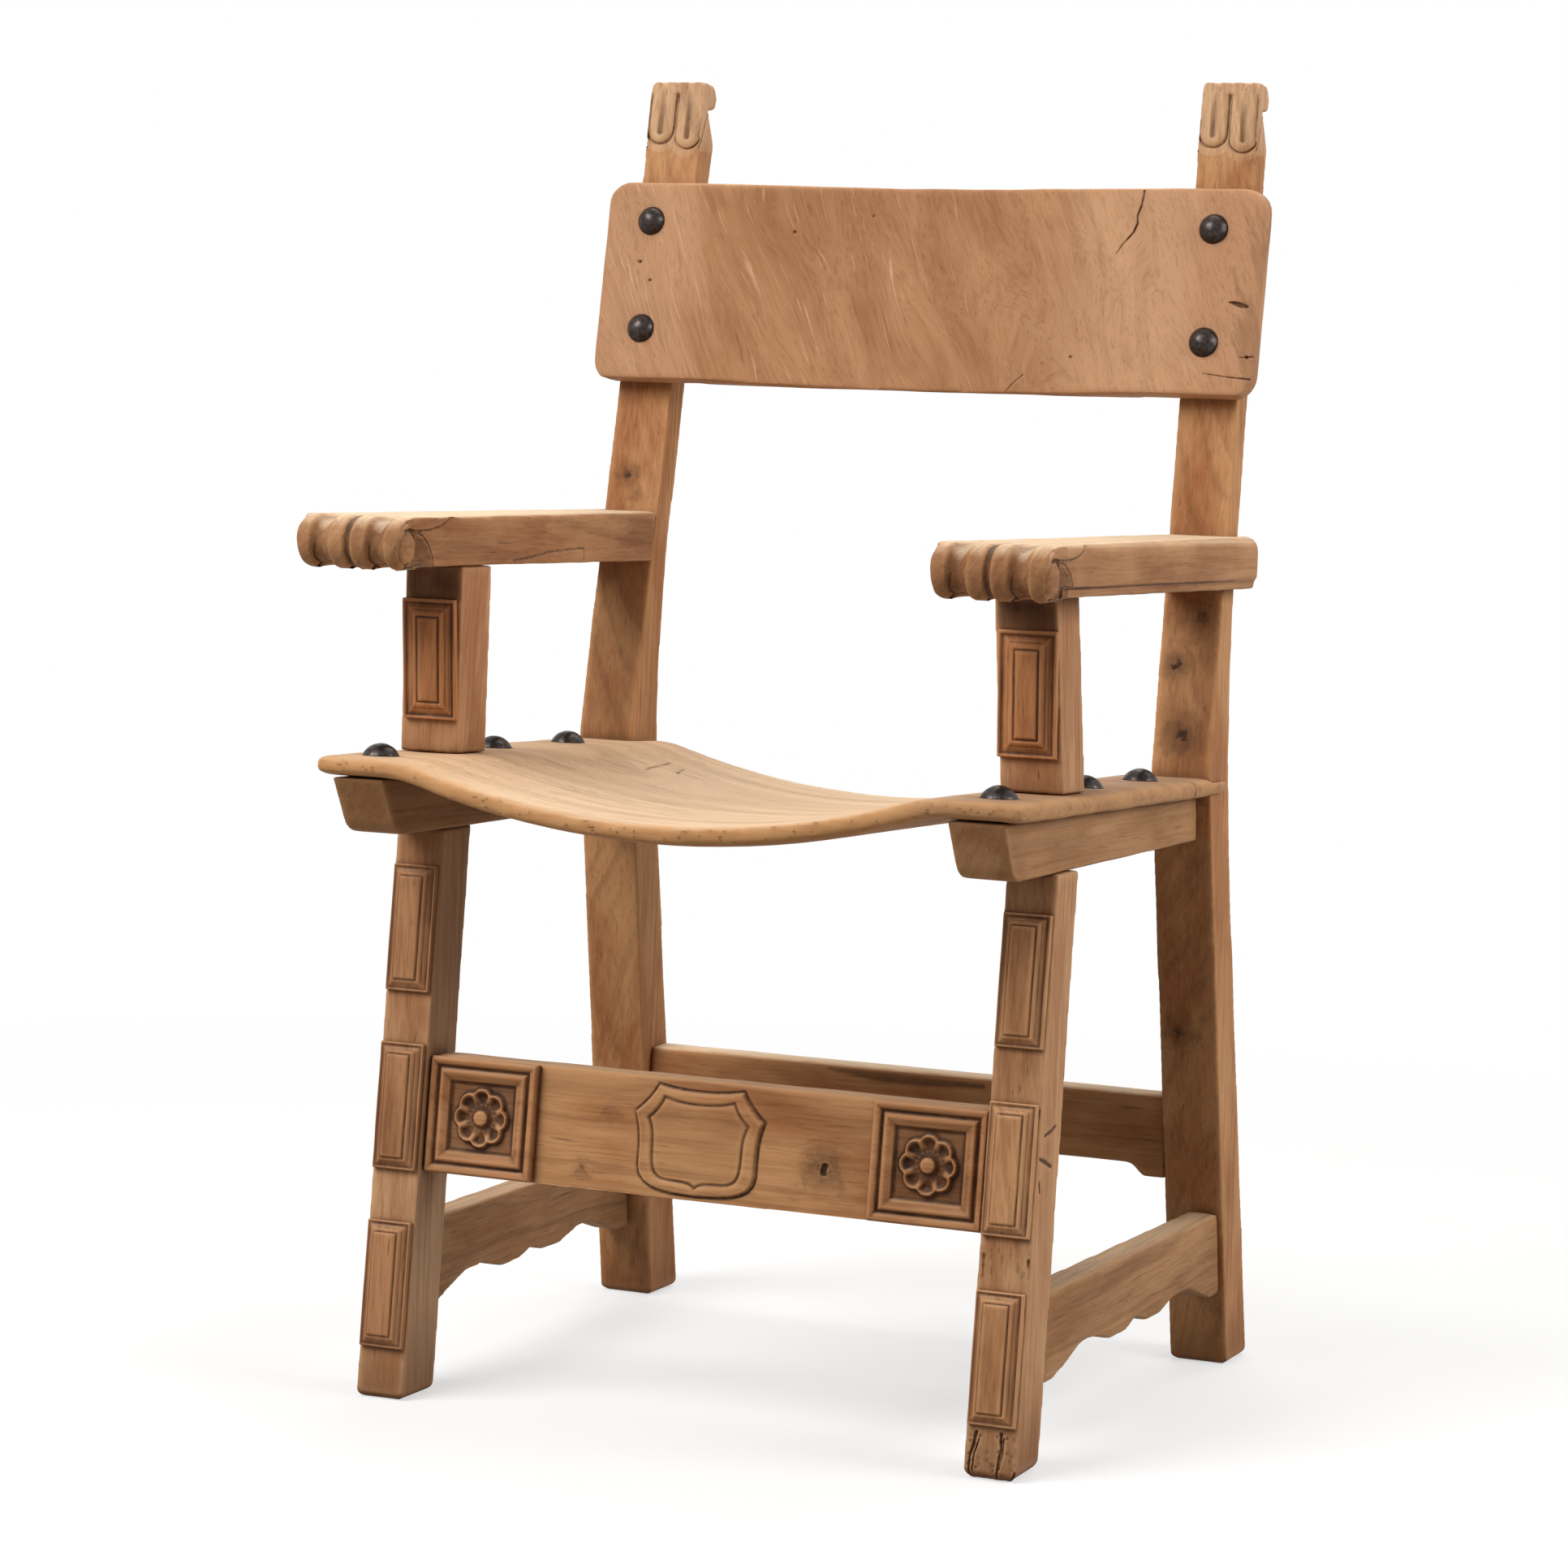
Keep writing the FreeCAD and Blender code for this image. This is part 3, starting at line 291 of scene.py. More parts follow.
def walnut(node, turn, tones, kind="stripped", knots=(), ring_gap=6.0, pith=(0.0, 70.0, 45.0), seed=0.0,
           ring_share=0.3, grime_and_shade=0.9, figure=8.0, bleach_and_top_light=0.45, foot=0.0, scratches=0.0, zones=(),
           smoke=0.3, corner_shade=0.95, checks=0.55):
    """Stripped walnut, matt and open-pored. Fibres run along the piece's own X, which turn points the
    right way. Tones are pale sapwood, ruddy heartwood, dark grain and old dirt; the grain and dirt
    tones also paint shade. A knot is its middle, radius and darkness. A zone is where it starts and is
    full along X, its colour and its share."""
    material, tree, shader = new_material(kind + "_walnut_" + node)
    pale, ruddy, grain, dirt_and_shade = (tone(code) for code in tones)
    low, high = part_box(node)
    place = add(tree, "TexCoord").outputs["Object"]
    apart = add(tree, "SeparateXYZ", {0: place})
    from_left, height = apart.outputs["X"], apart.outputs["Z"]
    own = add(tree, "Mapping", {"Vector": place, "Location": (low + high) / 2, "Rotation": turn},
              vector_type="TEXTURE")
    # The fibres wander slowly along the piece, by a centimetre in half a metre.
    slow = add(tree, "VectorMath", {0: own, 1: (3.2, 11, 11), 2: (seed, seed, seed)}, "MULTIPLY_ADD")
    drift = add(tree, "TexNoise", {"Vector": slow, "Scale": 1})
    centred = add(tree, "VectorMath", {0: drift.outputs["Color"], 1: (0.5, 0.5, 0.5)}, "SUBTRACT")
    sway = add(tree, "VectorMath", {0: centred, 1: (0, figure * mm * 2, figure * mm * 2), 2: own},
               "MULTIPLY_ADD")
    # Growth rings round a pith beside the piece, one every few millimetres.
    flat = add(tree, "VectorMath", {0: sway, 1: (0.03, 1, 1)}, "MULTIPLY")
    heart = [value * mm for value in pith]
    radius = add(tree, "VectorMath", {0: flat, 1: heart}, "DISTANCE").outputs["Value"]
    stain = None
    if knots:
        crinkle = add(tree, "TexNoise", {"Vector": place, "Scale": 130, "Detail": 3, "Roughness": 0.65})
        shifted = add(tree, "VectorMath", {0: crinkle.outputs["Color"], 1: (0.5, 0.5, 0.5)}, "SUBTRACT")
        ragged = add(tree, "VectorMath", {0: shifted, 1: (0.018, 0.018, 0.018), 2: place}, "MULTIPLY_ADD")
    for x, y, z, size, dark in knots:
        spot = add(tree, "VectorMath", {0: ragged, 1: (x * mm, y * mm, z * mm)},
                   "DISTANCE").outputs["Value"]
        # The rings bend round it within the halo, and it darkens through its glow to its core.
        falls = []
        for wide, full, most in ((3.5, 0, size * 2.2 * mm), (1.1, 0.3, 1), (3.4, 0, 0.6)):
            falls.append(add(tree, "MapRange", {"Value": spot, "From Min": size * wide * mm,
                    "From Max": size * full * mm, "To Max": most}, **smooth))
        halo, core, glow = falls
        radius = add(tree, "Math", {0: radius, 1: halo}, "ADD")
        both = add(tree, "Math", {0: core, 1: glow}, "MAXIMUM")
        both = add(tree, "Math", {0: both, 1: dark}, "MULTIPLY")
        stain = both if stain is None else add(tree, "Math", {0: stain, 1: both}, "MAXIMUM")
    turns = add(tree, "Math", {0: radius, 1: 1 / (ring_gap * mm), 2: seed}, "MULTIPLY_ADD")
    rings = add(tree, "TexNoise", {"W": turns, "Scale": 1, "Detail": 3, "Roughness": 0.6},
                noise_dimensions="1D")
    # Noise drawn out along the fibres, by its turns per metre along and across. Fibres are 2.5 mm apart
    # and 110 mm long, and pores 1.5 mm wide and 25 mm long. Dark checks 1 mm wide and 80 mm long
    # are where the dry wood has opened. Sapwood and heartwood change over a hand's width,
    # and old finish stays in cloudy streaks. Strokes, 60 mm long, are pale scratches along the figure.
    drawn = []
    for under, turns_each, shift, detail, roughness in (
            (sway, (9, 400, 400), (0, 0, 0), 3, 0.55), (sway, (40, 700, 700), (0, 0, 0), 1, 0.5),
            (sway, (12, 260, 260), (seed, seed, seed), 2, 0.6),
            (sway, (5, 16, 16), (seed + 7, seed, seed), 4, 0.6),
            (own, (5, 38, 38), (seed, seed + 3, seed), 5, 0.7), (sway, (16, 40, 330), (0, 0, 0), 3, 0.6)):
        spread = add(tree, "VectorMath", {0: under, 1: turns_each, 2: shift}, "MULTIPLY_ADD")
        drawn.append(add(tree, "TexNoise", {"Vector": spread, "Scale": 1, "Detail": detail,
                                            "Roughness": roughness}))
    fibres, pores, opened, patches, old_finish, strokes = drawn
    masks = []
    for noise, start, full, most, ease in (
            (rings, 0.42, 0.7, ring_share, smooth), (pores, 0.64, 0.76, 0.3, {}),
            (opened, 0.69, 0.76, checks, {}), (patches, 0.36, 0.64, 1, smooth),
            (old_finish, 0.52, 0.72, smoke, smooth), (fibres, 0.5, 0.74, 0.3, {}),
            (fibres, 0.48, 0.3, 0.2, {})):
        masks.append(add(tree, "MapRange", {"Value": noise, "From Min": start, "From Max": full,
                "To Max": most}, **ease))
    late, pits, splits, heartwood, smoky, streak, silver = masks
    # Marked faces, most of all those that look up, are paler: bleached by light and dusting, and painted
    # light.
    bare_and_lit = add(tree, "Attribute", attribute_name="bare_and_lit").outputs["Fac"]
    lit_and_faded = add(tree, "Math", {0: bare_and_lit, 1: bleach_and_top_light}, "MULTIPLY", use_clamp=True)
    coats = [(heartwood, ruddy), (lit_and_faded, tone("#e6cba9"))]
    for start, end, colour, amount in zones:
        # The plank's tone changes along X, with a ragged border.
        border = add(tree, "Math", {0: old_finish, 1: 0.16, 2: from_left}, "MULTIPLY_ADD")
        zone = add(tree, "MapRange", {"Value": border, "From Min": start + 0.08, "From Max": end + 0.08,
                "To Max": amount}, **smooth)
        coats.append((zone, tone(colour)))
    coats += [(late, grain), (smoky, grain), (streak, grain), (silver, pale), (pits, dirt_and_shade),
              (splits, dirt_and_shade)]
    if stain:
        coats.append((stain, dirt_and_shade))
    if foot:
        # The feet are darker near the floor, up to about this height in metres.
        rim = add(tree, "Math", {0: old_finish, 1: foot, 2: height}, "MULTIPLY_ADD")
        near_floor_dark = add(tree, "MapRange", {"Value": rim, "From Min": foot * 1.5, "From Max": foot * 0.5,
                "To Max": 0.6}, **smooth)
        coats.append((near_floor_dark, grain))
    if scratches:
        # Most of them are on the plank's left half.
        lines = add(tree, "MapRange", {"Value": strokes, "From Min": 0.6, "From Max": 0.77,
                "To Max": scratches})
        leftness = add(tree, "MapRange", {"Value": from_left, "From Min": 0.1, "From Max": -0.06,
                "To Min": 0.25})
        lines = add(tree, "Math", {0: lines, 1: leftness}, "MULTIPLY")
        coats.append((lines, tone("#dcb893")))
    patchiness = add(tree, "TexNoise", {"Vector": place, "Scale": 60, "Detail": 3})
    # Painted shade: ambient occlusion darkens where pieces meet and in tight corners. The hollows hold
    # old dirt and painted shade, and the edges are paler, rubbed by hands and painted as highlights.
    occlusion = add(tree, "AmbientOcclusion", {"Distance": 0.022}, samples=4).outputs["AO"]
    corner = add(tree, "MapRange", {"Value": occlusion, "From Min": 0.85, "From Max": 0.3,
            "To Max": corner_shade})
    corner = add(tree, "Math", {0: corner, 1: patchiness}, "MULTIPLY")
    hollow = add(tree, "Attribute", attribute_name="hollow").outputs["Fac"]
    grimy_shaded_hollows = add(tree, "Math", {0: patchiness, 1: 0.8, 2: 0.55}, "MULTIPLY_ADD")
    grimy_shaded_hollows = add(tree, "Math", {0: grimy_shaded_hollows, 1: hollow}, "MULTIPLY")
    grimy_shaded_hollows = add(tree, "Math", {0: grimy_shaded_hollows, 1: grime_and_shade}, "MULTIPLY", use_clamp=True)
    # The edges are paler: rubbed by hands, and painted highlight.
    edge = add(tree, "Attribute", attribute_name="edge").outputs["Fac"]
    rubbed_and_highlit = add(tree, "Math", {0: patchiness, 1: edge}, "MULTIPLY")
    base = pale
    for share, colour in coats + [(rubbed_and_highlit, pale), (corner, grain), (grimy_shaded_hollows, dirt_and_shade)]:
        base = add(tree, "Mix", {0: share, 6: base, 7: colour}, data_type="RGBA").outputs[2]
    tree.links.new(base, shader.inputs["Base Color"])
    gloss = add(tree, "MapRange", {"Value": fibres, "From Min": 0.3, "From Max": 0.7,
            "To Min": 0.6, "To Max": 0.8})
    tree.links.new(gloss.outputs[0], shader.inputs["Roughness"])
    relief = add(tree, "Math", {0: pits, 1: -1.2, 2: fibres.outputs[0]}, "MULTIPLY_ADD")
    relief = add(tree, "Math", {0: late, 1: 0.6, 2: relief}, "MULTIPLY_ADD")
    bump = add(tree, "Bump", {"Height": relief, "Strength": 0.4, "Distance": 0.5 * mm})
    tree.links.new(bump.outputs[0], shader.inputs["Normal"])
    shader.inputs["Specular IOR Level"].default_value = 0.2
    return material


def pair(name):
    """A number, the side and the node's name for each of two pieces."""
    return [(number, side, name + side) for number, side in enumerate(("left", "right"))]


def fit(piece, node, material):
    """Put a finished piece in its node's place. The faces that look up are made paler: rubbed bare, and
    painted light from above.
    """
    mesh = piece.data
    low, high = (np.array(corner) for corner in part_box(node))
    put_points(mesh, np.clip(points_of(mesh), low, high))
    mark(mesh, "bare_and_lit", 2 * normals_of(mesh)[:, 2] - 1)
    mesh.materials.clear()
    mesh.materials.append(material)
    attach(piece, "root")
    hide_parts(node)


honey = ("#bb8a5d", "#99633b", "#6b4022", "#2f190b")
upright = (0, radians(90), 0)
post_grit = 2.1
front, left, right = (0, -1, 0), (-1, 0, 0), (1, 0, 0)
# The front of a post: where it meets the floor, knee and top, and its inner edge, in millimetres.
knee_y, knee_z, brow_y, brow_z = 168.25, 529, 261.05, 1120
foot_inner, head_inner, post_width = 252.5, 234.5, 53
tongue_low, tongue_half, tongue_rise, tongue_roll = 1060, 12.25, 2.5, 6.5
left_tongue_lift = 4.5
flute_rise, flute_half, flute_depth, flute_top = 10, 3.0, 2.6, 1116
pale_from, arm_level, seat_level = 1045, 685, 500
finial_crack = ((271, 1096), (263, 1084), (256, 1067), (251, 1060))
post_knots = {"right": ((277, 188.8, 660.4, 9, 0.7), (258.9, 182.3, 618.9, 6, 1),
                        (269, 173.2, 560.5, 9, 1), (265.3, 214.6, 299.6, 7, 0.9)),
              "left": ((-272.6, 204.9, 762.7, 6, 0.9), (-262, 204.9, 745, 4, 0.8))}
foot_round = 6.0


def filled(along, level, step, reach):
    """Levels raised to the highest one beside them, so that narrow grooves are gone."""
    rows = np.arange(along.min(), along.max(), step * mm)
    ridge = [level[abs(along - row) < reach * mm].max() for row in rows]
    top = np.interp(along, rows, ridge)
    return np.where(top - level < 5 * mm, top, level)


def worn_foot(piece, radius):
    """Round the corners of a foot over its lowest millimetres."""
    points = points_of(piece.data)
    near_floor = points[:, 2] < radius * mm
    rise = unit(1 - points[:, 2] / (radius * mm))
    inset = radius * mm * (1 - np.sqrt(1 - rise ** 2))
    for axis in (0, 1):
        low, high = points[near_floor, axis].min(), points[near_floor, axis].max()
        from_low = unit(1 - (points[:, axis] - low) / (radius * mm))
        from_high = unit(1 - (high - points[:, axis]) / (radius * mm))
        points[:, axis] += inset * (from_low - from_high)
    put_points(piece.data, points)


for number, side, node in pair("rear_post_"):
    post = even_copy(node, post_grit, crisp=True)

    def tongue_place(places):
        """Across and up the post's front, and how far behind its front line, in millimetres."""
        x, y, z = (places / mm).T
        centre = foot_inner + (head_inner - foot_inner) * z / brow_z + post_width / 2
        line = knee_y + (brow_y - knee_y) * (z - knee_z) / (brow_z - knee_z)
        return abs(x) - centre, z, y - line

    def tongue_field(places, normals):
        u, v, behind = tongue_place(places)
        return (v > tongue_low - 8) & (behind < 9) & (abs(u) < post_width / 2 + 2)
    refine(post, tongue_field, 2)
    mesh = post.data
    points = points_of(mesh)
    u, v, behind = tongue_place(points)
    face = (v > tongue_low - 6) & (v < brow_z - 8) & (behind < 5) & (abs(u) < post_width / 2 - 1)
    # The face is levelled and evened, and then the two tongues are cut with their flutes.
    points[face, 1] -= (behind[face] + tongue_rise) * mm
    evened = relaxed(points, ends_of(mesh), 6)
    points[face] = evened[face]
    u, v, behind = tongue_place(points)
    from_axis = abs(abs(u) - tongue_half - 1.25)
    lowest = tongue_low + left_tongue_lift * (u * np.sign(points[:, 0]) < 0)
    inside = tongue_half - np.hypot(from_axis, np.clip(lowest + tongue_half - v, 0, None))
    flute = np.hypot(from_axis, np.clip(lowest + flute_rise - v, 0, None)) / flute_half
    height = tongue_rise - 2.2 * unit(1 - inside / tongue_roll) ** 2
    shallow = unit((flute_top - v) / 40)
    height -= flute_depth * shallow * unit(1 - flute ** 2)
    height = np.where(inside > 0, height, -1.4 * unit(1 + inside / 3))
    fade = unit((brow_z - 8 - v) / 5)
    height = tongue_rise + (height - tongue_rise) * fade
    points[face, 1] -= (behind + height)[face] * mm
    mark(mesh, "cut", 0.28 * unit(1.1 - abs(inside + 0.6) / 1.4)[face], face)
    flute_dirt = np.clip((flute_top - 11 - v) / 40, 0, 0.28) * unit(1.1 - flute)
    mark(mesh, "cut", flute_dirt[face], face)
    # The scroll's face is paler towards its top: polish, and painted light from above.
    mark(mesh, "bare_and_lit", 0.75 * unit((v - pale_from) / 25) * (inside > -8))
    # The front between the seat and the arm is darkened, fading out at the arm: painted shade.
    looks = normals_of(mesh)
    under_arm = (looks[:, 1] < -0.7) & (v > seat_level) & (v < arm_level)
    mark(mesh, "cut", 0.4 * unit((arm_level - v[under_arm]) / 12), under_arm)
    # The scroll's top and front are smooth: what the faces above left there as grooves is filled.
    middle = abs(u) < post_width / 2 - 3
    crown = middle & (v > brow_z - 16) & (looks[:, 2] > -0.3)
    points[crown, 2] = filled(points[crown, 1], points[crown, 2], 2, 2.5)
    brow = middle & (v > brow_z - 10) & (looks[:, 1] < 0)
    points[brow, 1] = -filled(points[brow, 2], -points[brow, 1], 1, 1.5)
    for reach, times in ((12, 24), (60, 3)):
        rounded = (v > brow_z - 9) & (behind < reach)
        points[rounded] = relaxed(points, ends_of(mesh), times)[rounded]
    put_points(mesh, points)
    worn_foot(post, foot_round)
    for way in (left, right):
        score(post, way, (finial_crack,), 1.2, 1.3, dirt_and_shade=1)
    age(post, 2, 0.2, 0.3, 11 + number)
    wood = walnut(node, upright, honey, knots=post_knots[side], seed=1.7 + number * 4.1,
                  foot=0.07, grime_and_shade=0.7)
    fit(post, node, wood)

# Front legs
# Raked walnut legs that carry the seat rails on a stub tenon. Feet and corners are knocked and worn.
tan = ("#c1956d", "#a1704b", "#6f4628", "#31190b")
foot_splits = (((274, 37, 1.3), (274.5, 31.6, 1), (275, 26, 0.6), (273.6, 19, 0.8), (272, 1, 0.5)),
               ((276.5, 34, 0.5), (276, 24, 0.7), (274, 10, 0.3)),
               ((254, 37, 1.1), (251.8, 26, 1), (249.5, 17, 0.5), (249, 1, 0.7)),
               ((256.5, 32, 0.3), (253, 20, 0.5), (252, 6, 0.3)), ((287.4, 9, 0.4), (286, 1, 0.9)))
edge_splits = ((249, 174, 0.9), (249.5, 156, 0.4)), ((286, 172, 0.9), (286.5, 158, 0.4))
side_nicks = (((-200.2, 267.1), (-188, 268), (-176, 271)), ((-210, 250), (-195.2, 245.4), (-182, 240.5)),
              ((-207.8, 231.3), (-205.9, 224.1)))
for number, side, node in pair("front_leg_"):
    leg = even_copy(node, 2, crisp=True)
    if side == "right":
        score(leg, front, foot_splits, 1.5, 2.2, 2, dirt_and_shade=0.5)
        score(leg, front, edge_splits, 1.6, 1.4, dirt_and_shade=0.6)
        # Pocks on the foot and short checks above the lowest panel, in a fixed scatter.
        chance = np.random.default_rng(29)
        pocks = [((x, z), (x + 0.6, z + 1.2)) for x, z in chance.uniform((247, 3), (289, 35), (34, 2))]
        score(leg, front, pocks, 1.2, 0.8, dirt_and_shade=0.12)
        for low, high in ((152, 182), (262, 300)):
            ticks = [((x, z, 0.4), (x + 0.5, z + long / 2, 1), (x, z + long, 0.4)) for x, z, long
                     in chance.uniform((250, low, 4), (288, high, 12), (16, 3))]
            score(leg, front, ticks, 0.8, 0.5, dirt_and_shade=0.35)
        score(leg, right, side_nicks, 1.8, 1.6)
    else:
        # Its inner side is made paler: painted light.
        mark(leg.data, "bare_and_lit", 0.6 * unit(normals_of(leg.data)[:, 0]))
    worn_foot(leg, 9 if side == "right" else foot_round)
    age(leg, 2, 0.25, 0.35, 21 + number)
    wood = walnut(node, upright, tan, seed=11.3 + number * 5.7, foot=0.09, corner_shade=2.2)
    fit(leg, node, wood)

# Seat rails
# Plain walnut rails of a duller brown, from the front overhang back to the rear posts.
along_chair = (0, 0, radians(90))
weathered = ("#a97e56", "#8d623d", "#604026", "#2c190d")
for number, side, node in pair("seat_rail_"):
    rail = age(even_copy(node, 2.2, crisp=True), 2, 0.3, 0.3, 31 + number)
    wood = walnut(node, along_chair, weathered, seed=21.9 + number * 3.3, ring_share=0.2, smoke=0.15)
    fit(rail, node, wood)

# Seat board
# One wide walnut plank, hollowed by hand, bleached by light and worn smooth by use, with painted light on
# its top.
sand = ("#c59463", "#a97649", "#764d2d", "#38200f")
across = (0, 0, 0)
seat_cracks = (((278.8, 96.1), (290.4, 106.7), (300.8, 113.5), (318, 115)),
               ((-164, 25), (-170, 50), (-171, 75), (-176, 101)), ((-150, 60), (-157, 90)))
seat = even_copy("seat_board", 2.9)
score(seat, (0, 0, 1), seat_cracks, 1.0, 1.4, dirt_and_shade=0.9)
score(seat, right, (((114, 530), (115, 508)),), 1.0, 1.4)
# Small worm holes along the front edge.
front_edge = points_of(seat.data)[normals_of(seat.data)[:, 1] < -0.7][:, (0, 2)] / mm
chance = np.random.default_rng(43)
picks = chance.choice(len(front_edge), 90)
score(seat, front, [((x, z), (x + 1.5, z)) for x, z in front_edge[picks]], 1.0, 0.9, dirt_and_shade=1.3)
# The right end shows its end grain in short upright lines.
seat_end = points_of(seat.data)[normals_of(seat.data)[:, 0] > 0.8][:, (1, 2)] / mm
picks = chance.choice(len(seat_end), 26)
score(seat, right, [((y, z - 5, 0.4), (y + 1, z, 1), (y, z + 4, 0.4)) for y, z in seat_end[picks]],
      0.8, 0.7, dirt_and_shade=0.8)
mesh = seat.data
# The front edge and the right end are darker by the way they face: old dirt, and painted shade.
looks = normals_of(mesh)
mark(mesh, "cut", 0.3 * unit(np.maximum(-looks[:, 1], 1.7 * looks[:, 0]) - 0.3))
# The underside is worn away towards the front edge.
points = points_of(mesh)
edge_reach, edge_loss = 18 * mm, 3.2 * mm
rim = points[:, 1] - points[:, 1].min() < edge_reach
stations = np.arange(points[:, 0].min(), points[:, 0].max() + 6 * mm, 6 * mm)
spans = [points[rim & (abs(points[:, 0] - station) < 6 * mm), 2] for station in stations]
lowest = np.interp(points[rim, 0], stations, [span.min() for span in spans])
highest = np.interp(points[rim, 0], stations, [span.max() for span in spans])
down = unit((highest - points[rim, 2]) / (highest - lowest))
inward = 1 - (points[rim, 1] - points[:, 1].min()) / edge_reach
points[rim, 2] += down ** 2 * inward * edge_loss
put_points(mesh, points)
age(seat, 6, 0.6, 0.3, 41)
# Its top is paler, bleached and with painted light; its right end is darker, weathered and with painted
# shade.
wood = walnut("seat_board", across, sand, "bleached_toplit", pith=(0, 60, 150), ring_gap=26, seed=31.0,
              ring_share=0.2, bleach_and_top_light=0.76, smoke=0.36,
              zones=((-0.12, -0.24, "#c08a58", 0.3), (0.18, 0.25, "#8a6548", 0.8)))
fit(seat, "seat_board", wood)

# Arm posts
# Short walnut posts, tenoned through the seat into the rails and up into the arms.
seat_shade_below, arm_shade_from = 492, 645
for number, side, node in pair("arm_post_"):
    post = even_copy(node, 1.9, crisp=True)
    # The front is darkened under the arm, and a little along the foot by the seat: painted shade.
    fronts = normals_of(post.data)[:, 1] < -0.7
    height = points_of(post.data)[fronts, 2] / mm
    under_arm, at_foot = unit((height - arm_shade_from) / 22), unit((seat_shade_below - height) / 14)
    mark(post.data, "cut", 0.8 * under_arm + 0.35 * at_foot, fronts)
    age(post, 2, 0.2, 0.3, 51 + number)
    wood = walnut(node, upright, tan, seed=41.3 + number * 2.9, corner_shade=2.0)
    fit(post, node, wood)

# Armrests
# Flat walnut arms. The front of each is carved into four lobes and scrolled over, with a domed eye
# on both sides and a tongue that runs back from it. Hands have worn the top smooth and pale, and the
# top has painted light.
arm_tones = ("#aa7d55", "#8a5b39", "#5f3c22", "#2b170a")
arm_inner, arm_outer, scroll_y, scroll_z, scroll_radius = 219, 317.5, -312.75, 704, 21.5
eye_y, eye_z, eye_radius = -316, 700.8, 13.5
end_round = 12
# The arc of the scroll, in degrees, that is rounded and that is coved. Depths are in millimetres.
arc_middle, round_arc, cove_arc = -8, 108, 120
cove_spots, cove_half, cove_depth, cove_end = (24.6, 73.9), 9, 2.2, -262
dome_fall, hollow_depth, hollow_fall, ground_depth = 2.4, 1.4, 4.0, 1.7
ground_front, ground_end, flank_end = -302, -185, -180
